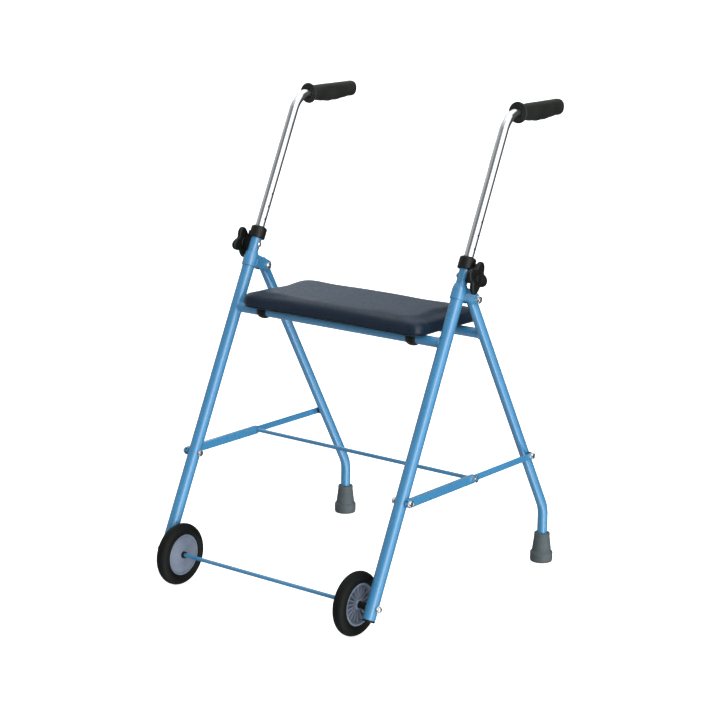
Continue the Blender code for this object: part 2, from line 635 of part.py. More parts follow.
# ------------------------------------------------------------ braces
def front_link(side, sign):
    """Channel open below, hinged on the front leg, that wraps over the rear link."""
    link = plate("front_link_" + side, stadium(LINK_LENGTH, FRONT_LINK_H / 2), FRONT_LINK_W)
    x = sign * (HALF_TRACK + LINK_IN_X + FRONT_LINK_W / 2)
    place(link, BLUE, None, (x, FRONT_Y + BRACE_FRONT_Y, BRACE_Z), SIDE_PLANE)
    clear_w = FRONT_LINK_W - 2 * LINK_FLANGE
    web = FRONT_LINK_H / 2 - LINK_FLANGE
    slot = box_cutter("channel_" + side, (0.26, 0.03, clear_w), link, (LINK_LENGTH / 2, web - 0.015, 0))
    cut(link, slot)
    for i, at in enumerate((0.0, LINK_LENGTH)):
        cut(link, rod_cutter(f"front_link_hole_{side}_{i}", BOLT_R + GAP, -0.02, 0.02, link, (at, 0, 0)))


def rear_link(side, sign):
    """Flat link between the cross rod and the rear leg, with its end bolt."""
    link = plate("rear_link_" + side, stadium(LINK_LENGTH, REAR_LINK_H / 2), REAR_LINK_W)
    x = sign * (HALF_TRACK + REAR_LINK_X)
    place(link, BLUE, None, (x, FRONT_Y + BRACE_MID_Y, BRACE_Z), SIDE_PLANE)
    for i, at in enumerate((0.0, LINK_LENGTH)):
        cut(link, rod_cutter(f"rear_link_hole_{side}_{i}", BOLT_R + GAP, -0.02, 0.02, link, (at, 0, 0)))
    head = bolt("rear_brace_bolt_" + side, BOLT_R, -REAR_LINK_W, HEAD_R, HEAD_H)
    outer = sign * (HALF_TRACK + REAR_LINK_X + REAR_LINK_W / 2 + GAP)
    place(head, ZINC, None, (outer, FRONT_Y + BRACE_REAR_Y, BRACE_Z), OUTWARD[sign])


def cross_rod():
    """Rod that joins the middle pivots of both braces, and its nuts."""
    end = HALF_TRACK + LINK_OUT_X + 0.0055
    rod = turned("brace_cross_rod", [(0, end), (BOLT_R, end), (BOLT_R, -end), (0, -end)], steps=16)
    place(rod, BLUE, None, (0, FRONT_Y + BRACE_MID_Y, BRACE_Z), (0, pi / 2, 0))
    for side, sign in SIDES:
        ring = nut("rod_nut_" + side, BOLT_R + GAP, 0.0068, 0.0060)
        place(ring, ZINC, None, (sign * (HALF_TRACK + LINK_OUT_X + GAP), FRONT_Y + BRACE_MID_Y, BRACE_Z),
              OUTWARD[sign])


# ------------------------------------------------------------ seat
def seat_pieces():
    """Cushion, its board, two clips on the front tube and two rear rests."""
    depth = (SEAT_BACK_Y - SEAT_FRONT_Y) / 2
    middle = (SEAT_BACK_Y + SEAT_FRONT_Y) / 2 - CROSS_FRONT_Y
    board_z = BOARD_Z - CROSS_FRONT_Z
    board = plate("seat_board", rounded_rectangle(SEAT_HALF_X - BOARD_INSET, depth - BOARD_INSET,
                                                  SEAT_CORNER_R - BOARD_INSET), BOARD_T)
    place(board, PLYWOOD, SEAT_AXIS, (0, middle, board_z + BOARD_T / 2))
    pad_t = PAD_TOP_Z - BOARD_Z
    pad = plate("seat_pad", rounded_rectangle(SEAT_HALF_X, depth, SEAT_CORNER_R), pad_t)
    place(pad, VINYL, SEAT_AXIS, (0, middle, board_z + pad_t / 2))
    round_over = pad.modifiers.new("Bevel", 'BEVEL')
    round_over.width = PAD_EDGE_R
    round_over.segments = 2
    inset = BOARD_INSET - GAP
    pocket = plate("board_pocket", rounded_rectangle(SEAT_HALF_X - inset, depth - inset,
                                                     SEAT_CORNER_R - inset), 2 * (BOARD_T + GAP))
    PARTS.objects.unlink(pocket)
    CUTTERS.objects.link(pocket)
    cut(pad, as_cutter(pocket, SEAT_AXIS, (0, middle, board_z), (0, 0, 0)))
    for side, sign in SIDES:
        seat_clip(side, sign, board, board_z)
        top = board_z - GAP
        rest_low = CROSS_REAR_Z + CROSS_R + GAP - CROSS_FRONT_Z
        outline = rounded_rectangle(REST_HALF_X, REST_HALF_Y, 0.003, 4)
        rest = plate("seat_rest_" + side, outline, top - rest_low)
        place(rest, BLACK, SEAT_AXIS, (sign * CLIP_X, CROSS_REAR_Y - CROSS_FRONT_Y, (top + rest_low) / 2))


def seat_clip(side, sign, board, board_z):
    """Saddle round the front tube, screwed up into the board."""
    x = sign * CLIP_X
    top = board_z - GAP
    half = CLIP_W / 2
    clip = turned("seat_clip_" + side, [(0, half), (CLIP_R, half), (CLIP_R, -half), (0, -half)])
    place(clip, BLACK, SEAT_AXIS, (x, 0, 0), OUTWARD[sign])
    cut(clip, box_cutter("clip_ear_" + side, (CLIP_W, CLIP_EAR_LENGTH, CLIP_EAR_T), SEAT_AXIS,
                         (x, 0.006, top - CLIP_EAR_T / 2)), 'UNION')
    cut(clip, box_cutter("clip_roof_" + side, (0.05, 0.08, 0.02), SEAT_AXIS, (x, 0, top + 0.01)))
    cut(clip, rod_cutter("clip_bore_" + side, CROSS_R + GAP, -0.03, 0.03, SEAT_AXIS, (x, 0, 0),
                         OUTWARD[sign], steps=SEGMENTS))
    screw_hole = rod_cutter("screw_hole_" + side, SCREW_HOLE_R, -0.008, 0.004, SEAT_AXIS,
                            (x, SCREW_Y, board_z), steps=12)
    cut(clip, screw_hole)
    cut(board, screw_hole)
    screw = bolt("seat_screw_" + side, SCREW_HOLE_R - 0.0004, -0.0078, 0.0040, 0.0022)
    place(screw, ZINC, SEAT_AXIS, (x, SCREW_Y, top - CLIP_EAR_T - GAP), (pi, 0, 0))


# ------------------------------------------------------------ assembly
for side, sign in SIDES:
    front_leg(side, sign)
    leg_plug(side)
    upper_tube(side, sign)
    hinge_bracket(side, sign)
    clamp_collar(side, sign)
    knob(side, sign)
    handle(side, sign)
    grip(side)
    wheel(side, sign)
    rear_leg(side, sign)
    ferrule(side, sign)
    brace_spacer(side, sign)
    brace_front_bolt(side, sign)
    front_link(side, sign)
    rear_link(side, sign)
cross_tube("front_cross_tube", CROSS_FRONT_Y, CROSS_FRONT_Z, -FRONT_LEAN, LEG_R)
cross_tube("rear_cross_tube", CROSS_REAR_Y, CROSS_REAR_Z, REAR_LEAN, REAR_R)
axle()
cross_rod()
seat_pieces()
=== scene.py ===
"""Looks of the folding walking frame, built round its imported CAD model.

Metres, +Z up.  Every mesh holds its place in its vertices, in the frame of
the CAD model, so an object's own coordinates are the model's coordinates.
"""
import json
from math import atan2, cos, hypot, pi, radians, sin, sqrt, tan

import bmesh
import bpy
from mathutils import Matrix, Vector, noise
from mathutils.bvhtree import BVHTree
from mathutils.interpolate import poly_3d_calc


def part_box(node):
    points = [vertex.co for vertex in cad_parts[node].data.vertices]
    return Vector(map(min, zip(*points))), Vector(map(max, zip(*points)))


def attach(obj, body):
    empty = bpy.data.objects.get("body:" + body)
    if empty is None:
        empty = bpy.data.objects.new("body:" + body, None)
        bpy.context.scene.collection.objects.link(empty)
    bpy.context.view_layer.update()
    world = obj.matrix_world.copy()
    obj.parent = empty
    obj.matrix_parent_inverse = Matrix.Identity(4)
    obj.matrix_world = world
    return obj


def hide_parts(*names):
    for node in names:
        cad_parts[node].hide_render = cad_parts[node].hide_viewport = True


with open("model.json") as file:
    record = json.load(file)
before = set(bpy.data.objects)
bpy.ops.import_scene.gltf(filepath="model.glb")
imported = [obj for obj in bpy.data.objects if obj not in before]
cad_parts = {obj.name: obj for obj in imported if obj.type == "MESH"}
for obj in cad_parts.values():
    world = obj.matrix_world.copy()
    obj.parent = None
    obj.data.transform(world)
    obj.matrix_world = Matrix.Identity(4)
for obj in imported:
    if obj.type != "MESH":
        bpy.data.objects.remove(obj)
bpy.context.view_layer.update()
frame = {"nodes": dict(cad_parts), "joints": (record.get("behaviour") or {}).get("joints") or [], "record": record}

RECORD = frame["record"]
BODY = {node: body for body, nodes in RECORD["behaviour"]["bodies"].items() for node in nodes}
JOINT = {joint["name"]: joint for joint in frame["joints"]}
SIDES = (("left", 1), ("right", -1))
COLLECTION = bpy.context.scene.collection

GAP = 0.0003                      # air between two pieces that touch
ROUND, WHEEL_ROUND = 64, 120      # sides of a tube and of a wheel


# ------------------------------------------------------------ materials
class Graph:
    """Short ways of adding nodes to a shader tree."""

    def __init__(self, tree):
        self.tree = tree

    def node(self, kind, **inputs):
        """A node whose inputs are values or other nodes' outputs.  i3 is input 3; _name sets a property."""
        made = self.tree.nodes.new(kind)
        for key, value in inputs.items():
            if key.startswith("_"):
                setattr(made, key[1:], value)
                continue
            numbered = key[0] == "i" and key[1:].isdigit()
            socket = made.inputs[int(key[1:]) if numbered else key.replace("_", " ")]
            if isinstance(value, bpy.types.NodeSocket):
                self.tree.links.new(value, socket)
            else:
                socket.default_value = value
        return made

    def ramp(self, fac, *stops):
        """A ramp of (place, grey or colour) stops."""
        made = self.node("ShaderNodeValToRGB", Fac=fac)
        band = made.color_ramp
        while len(band.elements) < len(stops):
            band.elements.new(0.5)
        for element, (place, colour) in zip(band.elements, stops):
            element.position = place
            grey = isinstance(colour, (int, float))
            element.color = (colour, colour, colour, 1) if grey else (*colour, 1)
        return made.outputs["Color"]

    def math(self, operation, a, b):
        return self.node("ShaderNodeMath", _operation=operation, i0=a, i1=b).outputs[0]

    def mix(self, fac, a, b):
        """A mix of two colours, each an output or (r, g, b)."""
        a, b = (c if isinstance(c, bpy.types.NodeSocket) else (*c, 1) for c in (a, b))
        return self.node("ShaderNodeMix", _data_type="RGBA", i0=fac, i6=a, i7=b).outputs[2]


class Finish(Graph):
    """One procedural material, built round its Principled shader."""

    def __init__(self, name, **sockets):
        self.mat = bpy.data.materials.new(name)
        self.mat.use_nodes = True
        super().__init__(self.mat.node_tree)
        self.shader = self.tree.nodes["Principled BSDF"]
        for key, value in sockets.items():
            self.shader.inputs[key.replace("_", " ")].default_value = value
        self.where = self.node("ShaderNodeTexCoord").outputs["Object"]

    def stretched(self, x, y, z):
        made = self.node("ShaderNodeVectorMath", _operation="MULTIPLY", i0=self.where, i1=(x, y, z))
        return made.outputs[0]

    def noise(self, scale, detail=3.0, rough=0.5, where=None):
        made = self.node("ShaderNodeTexNoise", Vector=where or self.where, Scale=scale, Detail=detail,
                         Roughness=rough)
        return made.outputs["Fac"]

    def cells(self, scale, feature="F1", where=None):
        made = self.node("ShaderNodeTexVoronoi", _feature=feature, Vector=where or self.where, Scale=scale)
        return made.outputs["Distance"]

    def bump(self, height, distance, strength=1.0):
        """Adds a bump of a height in metres on top of the bumps before it."""
        made = self.node("ShaderNodeBump", Height=height, Distance=distance, Strength=strength)
        socket = self.shader.inputs["Normal"]
        if socket.is_linked:
            self.tree.links.new(socket.links[0].from_socket, made.inputs["Normal"])
        self.tree.links.new(made.outputs[0], socket)
        return self

    def to(self, **links):
        """Links outputs to the shader's own sockets."""
        for key, value in links.items():
            self.tree.links.new(value, self.shader.inputs[key.replace("_", " ")])
        return self


def blue_enamel():
    """Stove enamel: even sky blue, a little orange peel, a hard clear gloss."""
    f = Finish("blue_enamel", Coat_Weight=0.85, Coat_Roughness=0.06)
    f.to(Base_Color=f.ramp(f.noise(9, 4), (0.30, (0.050, 0.252, 0.490)), (0.70, (0.062, 0.284, 0.530))),
         Roughness=f.ramp(f.noise(70, 3), (0.3, 0.26), (0.7, 0.32)))
    f.bump(f.noise(420, 2), 0.00001).bump(f.noise(60, 2), 0.00002, 0.3)
    return f.mat


def chrome():
    """Bright chrome on drawn tube: faint lines along it and small clouds."""
    f = Finish("chrome_plate", Metallic=1.0)
    lines = f.noise(1, 2, 0.6, f.stretched(1400, 260, 14))
    clouds = f.noise(60, 4)
    f.to(Base_Color=f.ramp(clouds, (0.3, (0.80, 0.83, 0.86)), (0.7, (0.89, 0.92, 0.94))),
         Roughness=f.ramp(f.math("MULTIPLY", lines, clouds), (0.10, 0.05), (0.45, 0.13)))
    f.bump(lines, 0.000006)
    return f.mat


def zinc():
    """Bright zinc plate, slightly yellow, with fine turning marks and spots."""
    f = Finish("bright_zinc", Metallic=1.0)
    spots = f.noise(900, 4)
    f.to(Base_Color=f.ramp(spots, (0.32, (0.55, 0.55, 0.52)), (0.62, (0.86, 0.86, 0.82))),
         Roughness=f.ramp(f.noise(300, 3), (0.3, 0.18), (0.7, 0.36)))
    f.bump(spots, 0.00002)
    return f.mat


def black_plastic():
    """Moulded black plastic with a fine spark-eroded grain."""
    f = Finish("moulded_black", Specular_IOR_Level=0.28)
    grain = f.noise(2600, 2, 0.6)
    f.to(Base_Color=f.ramp(f.noise(30, 4), (0.3, (0.0050, 0.0062, 0.0052)), (0.7, (0.0095, 0.0110, 0.0095))),
         Roughness=f.ramp(grain, (0.35, 0.34), (0.65, 0.50)))
    f.bump(grain, 0.00004).bump(f.noise(60, 2), 0.0001, 0.4)
    return f.mat


def grip_rubber():
    """Soft black grip with a close pebble grain."""
    f = Finish("pebbled_grip", Specular_IOR_Level=0.32)
    pebble = f.cells(700, "SMOOTH_F1")
    f.to(Base_Color=f.ramp(f.noise(40, 4), (0.3, (0.0105, 0.0120, 0.0105)), (0.7, (0.0185, 0.0205, 0.0180))),
         Roughness=f.ramp(pebble, (0.0, 0.62), (0.7, 0.42)))
    f.bump(pebble, -0.00016).bump(f.noise(2500, 2), 0.00003)
    return f.mat


def tyre_rubber():
    """Solid tyre rubber, matt, with a dusty bloom in patches."""
    f = Finish("tyre_black", Specular_IOR_Level=0.16)
    bloom = f.noise(26, 6, 0.62)
    f.to(Base_Color=f.ramp(bloom, (0.32, (0.0026, 0.0031, 0.0030)), (0.72, (0.0064, 0.0072, 0.0070))),
         Roughness=f.ramp(bloom, (0.3, 0.50), (0.7, 0.70)))
    f.bump(f.noise(1800, 3, 0.6), 0.00005).bump(f.noise(160, 3), 0.00012, 0.5)
    return f.mat


def hub_grey():
    """Pale grey moulded hub, slightly mauve, satin."""
    f = Finish("hub_moulding")
    cloud = f.noise(45, 4)
    f.to(Base_Color=f.ramp(cloud, (0.3, (0.142, 0.174, 0.232)), (0.7, (0.184, 0.220, 0.282))),
         Roughness=f.ramp(f.noise(300, 3), (0.3, 0.32), (0.7, 0.46)))
    f.bump(f.noise(1500, 2), 0.00003).bump(cloud, 0.0001, 0.4)
    return f.mat


def ferrule_rubber():
    """Grey rubber with fine grit and scuffs near the floor."""
    f = Finish("ferrule_grey")
    height = f.node("ShaderNodeSeparateXYZ", Vector=f.where).outputs["Z"]
    grit = f.noise(70, 6, 0.6)
    tone = f.ramp(grit, (0.3, (0.062, 0.084, 0.091)), (0.7, (0.091, 0.116, 0.123)))
    ragged = f.math("ADD", f.math("MULTIPLY", height, 60), f.math("MULTIPLY", grit, 0.9))
    scuffed = f.ramp(ragged, (0.35, 1.0), (0.9, 0.0))
    f.to(Base_Color=f.mix(scuffed, tone, (0.060, 0.068, 0.066)),
         Roughness=f.ramp(grit, (0.3, 0.60), (0.7, 0.80)))
    f.bump(f.noise(1300, 3, 0.6), 0.00007).bump(grit, 0.00015, 0.5)
    return f.mat


def navy_vinyl():
    """Upholstery vinyl: pebbled leather grain with pores, satin, navy."""
    f = Finish("navy_leathercloth", Specular_IOR_Level=0.26, Coat_Weight=0.10, Coat_Roughness=0.24,
               Sheen_Weight=0.19, Sheen_Tint=(0.42, 0.70, 1.0, 1), Sheen_Roughness=0.4)
    wander = f.node("ShaderNodeTexNoise", Vector=f.where, Scale=260.0).outputs["Color"]
    bent = f.node("ShaderNodeVectorMath", _operation="ADD", i0=f.where, i1=wander).outputs[0]
    warped = f.node("ShaderNodeMix", _data_type="VECTOR", i0=0.0022, i4=f.where, i5=bent).outputs[1]
    cracks = f.ramp(f.cells(420, "DISTANCE_TO_EDGE", warped), (0.0, 0.0), (0.18, 1.0))
    tone = f.ramp(f.noise(14, 5), (0.3, (0.0040, 0.0150, 0.0330)), (0.7, (0.0065, 0.0215, 0.0455)))
    f.to(Base_Color=f.mix(cracks, (0.003, 0.009, 0.019), tone),
         Roughness=f.ramp(f.math("MULTIPLY", cracks, f.noise(90, 3)), (0.0, 0.52), (0.6, 0.33)))
    f.bump(cracks, 0.00010).bump(f.noise(2400, 2), 0.00003).bump(f.noise(35, 3), 0.0004, 0.35)
    return f.mat


def plywood():
    """Plain plywood with grain along X."""
    f = Finish("plywood_board")
    grain = f.noise(1, 6, 0.65, f.stretched(14, 260, 260))
    f.to(Base_Color=f.ramp(grain, (0.3, (0.27, 0.165, 0.075)), (0.7, (0.45, 0.31, 0.17))),
         Roughness=f.ramp(grain, (0.3, 0.62), (0.7, 0.80)))
    f.bump(grain, 0.0002)
    return f.mat


FINISH = {"blue_paint": blue_enamel(), "chrome": chrome(), "zinc_plate": zinc(),
          "black_plastic": black_plastic(), "grip_rubber": grip_rubber(),
          "tyre_rubber": tyre_rubber(), "hub_grey": hub_grey(),
          "ferrule_rubber": ferrule_rubber(), "navy_vinyl": navy_vinyl(), "plywood": plywood()}


# ------------------------------------------------------------ mesh helpers
def axes(origin, z, x=(1, 0, 0)):
    """A frame of reference with its Z along z and its X as near x as it can be."""
    z = Vector(z).normalized()
    y = z.cross(Vector(x)).normalized()
    made = Matrix((y.cross(z), y, z)).transposed().to_4x4()
    made.translation = Vector(origin)
    return made


def extent(node, place):
    """Lowest and highest corner of a CAD node, measured along other axes."""
    inverse = place.inverted()
    points = [inverse @ v.co for v in frame["nodes"][node].data.vertices]
    return (Vector([min(p[i] for p in points) for i in range(3)]),
            Vector([max(p[i] for p in points) for i in range(3)]))


def measured(node):
    """Middle and half size of a CAD node along the world's axes."""
    low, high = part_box(node)
    return (low + high) / 2, (high - low) / 2


def centre(node):
    return measured(node)[0]


def crosswise(point):
    """Axes at a point with Z along world X and X along world Y."""
    return axes(point, (1, 0, 0), (0, 1, 0))


def oblong(x0, y0, x1, y1):
    """The four corners of a rectangle, in order."""
    return [(x0, y0), (x1, y0), (x1, y1), (x0, y1)]


def shade(obj, sharp=32):
    """Smooth shading with edges sharper than the angle kept."""
    obj.data.shade_smooth()
    obj.data.set_sharp_from_angle(angle=radians(sharp))
    return obj


def from_bmesh(name, bm, place=None, sharp=32):
    """Turn a bmesh into a linked object whose vertices hold its place."""
    bmesh.ops.recalc_face_normals(bm, faces=bm.faces)
    mesh = bpy.data.meshes.new(name)
    bm.to_mesh(mesh)
    bm.free()
    if place is not None:
        mesh.transform(place)
    obj = bpy.data.objects.new(name, mesh)
    COLLECTION.objects.link(obj)
    return shade(obj, sharp)


def skin(name, rings, place=None, loop=False, sharp=32):
    """Skin a list of rings; a ring of one point is a tip, and open ends are closed flat."""
    bm = bmesh.new()
    rows = [[bm.verts.new(p) for p in ring] for ring in rings]
    for a, b in zip(rows, rows[1:] + (rows[:1] if loop else [])):
        count = max(len(a), len(b))
        for i in range(count):
            j = (i + 1) % count
            if len(a) == 1:
                bm.faces.new((a[0], b[j], b[i]))
            elif len(b) == 1:
                bm.faces.new((a[i], a[j], b[0]))
            else:
                bm.faces.new((a[i], a[j], b[j], b[i]))
    if not loop:
        for row in (rows[0], rows[-1]):
            if len(row) > 2:
                bm.faces.new(row)
    return from_bmesh(name, bm, place, sharp)


def eased(points, radius, closed=False, count=3):
    """The same line with each corner rounded off by about the radius; nearly straight ones stay."""
    straight, share = radians(165), 0.45
    points = [Vector(p) for p in points]
    total = len(points)
    made = []
    for i, p in enumerate(points):
        if not closed and i in (0, total - 1):
            made.append(p)
            continue
        before, after = points[i - 1], points[(i + 1) % total]
        back, ahead = before - p, after - p
        if back.angle(ahead, pi) > straight:
            made.append(p)
            continue
        start = p + back.normalized() * min(radius, back.length * share)
        end = p + ahead.normalized() * min(radius, ahead.length * share)
        for k in range(count + 1):
            t = k / count
            made.append(start * (1 - t) ** 2 + p * 2 * t * (1 - t) + end * t * t)
    return made


def turned(name, profile, place=None, closed=False, steps=ROUND, sharp=32, shape=None):
    """Spin an (r, z) profile about Z.  shape(angle, r, z) may change the radius."""
    rings = []
    for r, z in profile:
        if r < 1e-7:
            rings.append([Vector((0, 0, z))])
            continue
        ring = []
        for i in range(steps):
            a = 2 * pi * i / steps
            radius = shape(a, r, z) if shape else r
            ring.append(Vector((radius * cos(a), radius * sin(a), z)))
        rings.append(ring)
    return skin(name, rings, place, closed, sharp)


def around(point, side, up, radius, steps):
    """A ring of points round a point, in the plane of two unit vectors."""
    ring = []
    for i in range(steps):
        a = 2 * pi * i / steps
        ring.append(point + (side * cos(a) + up * sin(a)) * radius)
    return ring


def along(path, radii, steps=ROUND):
    """Rings of the given radii round a path, without twist."""
    path = [Vector(p) for p in path]
    tangents = []
    for i in range(len(path)):
        tangents.append((path[min(i + 1, len(path) - 1)] - path[max(i - 1, 0)]).normalized())
    side = tangents[0].orthogonal().normalized()
    rings = []
    for p, t, radius in zip(path, tangents, radii):
        side = (side - t * side.dot(t)).normalized()
        rings.append(around(p, side, t.cross(side), radius, steps))
    return rings


def tube(name, path, outer, wall, place=None, steps=ROUND, sharp=32):
    """A hollow tube along a path, with softened rims."""
    edge = min(wall * 0.3, 0.0004)
    path = [Vector(p) for p in path]
    first = path[0] + (path[1] - path[0]).normalized() * edge
    last = path[-1] + (path[-2] - path[-1]).normalized() * edge
    line = [path[0], first] + path[1:-1] + [last, path[-1]]
    inner = outer - wall
    out = along(line, [outer - edge] + [outer] * (len(line) - 2) + [outer - edge], steps)
    back = along(line, [inner + edge] + [inner] * (len(line) - 2) + [inner + edge], steps)
    return skin(name, out + back[::-1], place, True, sharp)


def rod(name, radius, low, high, place=None, steps=ROUND, edge=0.0003, sharp=32):
    """A solid round rod along Z with chamfered ends."""
    profile = [(0, low), (radius - edge, low), (radius, low + edge), (radius, high - edge),
               (radius - edge, high), (0, high)]
    return turned(name, profile, place, steps=steps, sharp=sharp)


def slab(name, outline, low, high, place=None, edge=0.0005, sharp=32, rounds=2):
    """A closed outline in X, Y, thick along Z, with rounded edges."""
    outline = [Vector(p) for p in outline]
    total = len(outline)
    inward = []
    area = sum(outline[i].cross(outline[(i + 1) % total]) for i in range(total))
    turn = 1 if area > 0 else -1
    for i in range(total):
        before = (outline[i] - outline[i - 1]).normalized()
        after = (outline[(i + 1) % total] - outline[i]).normalized()
        normal = Vector((-(before.y + after.y), before.x + after.x)) * turn
        inward.append(normal.normalized())
    levels = []
    for k in range(rounds + 1):
        a = pi / 2 * k / rounds
        levels.append((edge * (1 - sin(a)), edge * (1 - cos(a))))
    heights = [(inset, low + rise) for inset, rise in levels]
    heights += [(inset, high - rise) for inset, rise in levels[::-1]]
    rings = []
    for inset, z in heights:
        rings.append([Vector((p.x + n.x * inset, p.y + n.y * inset, z)) for p, n in zip(outline, inward)])
    return skin(name, rings, place, sharp=sharp)


def bake(obj):
    """Apply an object's modifiers."""
    bpy.context.view_layer.update()
    graph = bpy.context.evaluated_depsgraph_get()
    mesh = bpy.data.meshes.new_from_object(obj.evaluated_get(graph))
    obj.modifiers.clear()
    obj.data = mesh
    return obj


def combine(obj, tools, operation="DIFFERENCE"):
    """Exact Booleans with each tool in turn; the tools are used up."""
    for tool in tools:
        modifier = obj.modifiers.new(operation, "BOOLEAN")
        modifier.operation = operation
        modifier.solver = "EXACT"
        modifier.object = tool
    bake(obj)
    for tool in tools:
        bpy.data.objects.remove(tool, do_unlink=True)
    return obj


def joined(obj, others):
    """Add closed pieces that are welded or printed on to an object's own mesh."""
    bm = bmesh.new()
    bm.from_mesh(obj.data)
    for other in others:
        bm.from_mesh(other.data)
        bpy.data.objects.remove(other, do_unlink=True)
    bm.to_mesh(obj.data)
    bm.free()
    return shade(obj)


def drilled(obj, tools):
    """Cut holes and keep the shading of the surface as it was before."""
    lift, reach, same_way = 0.00002, 0.0003, 0.95
    source = obj.data.copy()
    tree = BVHTree.FromPolygons([v.co for v in source.vertices], [p.vertices for p in source.polygons])
    combine(obj, tools)
    mesh = shade(obj).data
    corner = [Vector(n.vector) for n in mesh.corner_normals]
    before = [Vector(n.vector) for n in source.corner_normals]
    for face in mesh.polygons:
        for index in face.loop_indices:
            point = mesh.vertices[mesh.loops[index].vertex_index].co
            place, normal, hit, distance = tree.find_nearest(point + face.normal * lift)
            if hit is None or distance > reach or normal.dot(face.normal) < same_way:
                continue
            old = source.polygons[hit]
            weights = poly_3d_calc([source.vertices[v].co for v in old.vertices], place)
            mixed = Vector((0, 0, 0))
            for weight, k in zip(weights, old.loop_indices):
                mixed += before[k] * weight
            corner[index] = mixed.normalized()
    mesh.normals_split_custom_set([tuple(n) for n in corner])
    bpy.data.meshes.remove(source)
    return obj


def hexagon(radius):
    """Shape of a hexagon whose corners, near that radius, are cut back to a circle."""
    flat = radius * cos(pi / 6) * 1.03

    def shape(a, r, z):
        turn = (a + pi / 6) % (pi / 3) - pi / 6
        return min(r, flat / cos(turn))
    return shape


def bead(name, points, radius, steps=10, ripple=0.12):
    """A weld bead: a closed rope of small scales along the points."""
    total = len(points)
    rings = []
    for i, p in enumerate(points):
        t = (points[(i + 1) % total] - points[i - 1]).normalized()
        side = t.orthogonal().normalized() if i == 0 else (side - t * side.dot(t)).normalized()
        r = radius * (1 + ripple * sin(i * 2.2) + ripple * 0.6 * noise.noise(p * 300))
        rings.append(around(p, side, t.cross(side), r, steps))
    return skin(name, rings, None, True, 80)


def piece(obj, slot, *nodes, body=None):
    """Give a new piece its finish and its body, and hide the CAD nodes it stands for."""
    obj.data.materials.clear()
    obj.data.materials.append(FINISH[slot])
    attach(obj, body or BODY[nodes[0]])
    if nodes:
        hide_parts(*nodes)
    return obj


def filleted(start, corner, end, radius, count):
    """A path with two straight runs and a round corner between them."""
    start, corner, end = Vector(start), Vector(corner), Vector(end)
    back, ahead = (start - corner).normalized(), (end - corner).normalized()
    half = back.angle(ahead) / 2
    reach = radius / tan(half)
    middle = corner + (back + ahead).normalized() * (radius / sin(half))
    first, last = corner + back * reach - middle, corner + ahead * reach - middle
    sweep = first.angle(last)
    bend = []
    for i in range(count):
        t = i / (count - 1)
        bend.append(middle + (first * sin(sweep * (1 - t)) + last * sin(sweep * t)) / sin(sweep))
    return [start, *bend, end]


def arc(cx, cy, radius, start, end, count):
    return [(cx + radius * cos(start + (end - start) * i / (count - 1)),
             cy + radius * sin(start + (end - start) * i / (count - 1))) for i in range(count)]


# ------------------------------------------------------------ axes of the frame
LEG, REAR, OUT = {}, {}, {}
for side, sign in SIDES:
    wheel_y, wheel_z = JOINT["wheel_spin_" + side]["pos_m"][1:]
    track = centre("front_leg_" + side).x
    LEG[side] = axes((track, wheel_y, wheel_z), JOINT["handle_height_" + side]["axis"])
    pivot = Vector((track, *JOINT["rear_frame_fold"]["pos_m"][1:]))
    low_pivot = centre("rear_brace_bolt_" + side)
    low_pivot.x = track
    REAR[side] = axes(pivot, pivot - low_pivot)
    OUT[side] = Vector((sign, 0, 0))


def outward(side, point, inwards=False):
    """Axes with Z along the frame's width, away from the middle unless inwards."""
    return axes(point, -OUT[side] if inwards else OUT[side], LEG[side].col[2].to_3d())


def hole(side, radius, point, half=0.03, steps=32):
    """A round cutter through a point, across the frame."""
    return rod("hole", radius, -half, half, outward(side, point), steps, 0.0001)


LEG_WALL, TUBE_WALL, REAR_WALL = 0.0011, 0.0012, 0.0015
BOLT_R, KNOB_BORE_R = 0.004, 0.0034
BOLT_HOLE_R = BOLT_R + GAP
AXLE_R = measured("axle_rod")[1].z
REAR_R = measured("rear_leg_left")[1].x
HANDLE_R = measured("handle_tube_left")[1].x
SIDE_PLANE = Matrix(((0, 0, 1, 0), (1, 0, 0, 0), (0, 1, 0, 0), (0, 0, 0, 1)))   # X, Y become Y, Z


# ------------------------------------------------------------ fasteners
HEX_HEAD_H, HINGE_HEAD_H, CLAMP_HEAD_H, CLAMP_SHANK_R = 0.0042, 0.0045, 0.0040, 0.003


def nut(kind, side, inwards=False, cap=False):
    """A hexagon nut, or a cap nut, in place of a CAD nut."""
    node = kind + "_" + side
    place = outward(side, centre(node), inwards)
    low, high = extent(node, place)
    r, z0, z1 = high.x, low.z, high.z
    wide, edge = r * 1.04, (z1 - z0) * 0.12
    if cap:
        body_top, dome = z0 + (z1 - z0) * 0.55, r * 0.80
        profile = [(0, z0 + 0.0002), (r * 0.85, z0), (wide, z0 + edge), (wide, body_top - edge),
                   (r * 0.86, body_top)]
        for i in range(8):
            a = pi / 2 * i / 8
            profile.append((dome * cos(a), body_top + 0.0002 + (z1 - body_top) * sin(a)))
        profile.append((0, z1))
    else:
        profile = [(BOLT_HOLE_R, z0), (r * 0.88, z0), (wide, z0 + edge), (wide, z1 - edge), (r * 0.88, z1),
                   (BOLT_HOLE_R, z1)]
    obj = turned(node + ("_cap" if cap else "_hex"), profile, place, not cap, 72, shape=hexagon(r))
    piece(obj, "zinc_plate", node)


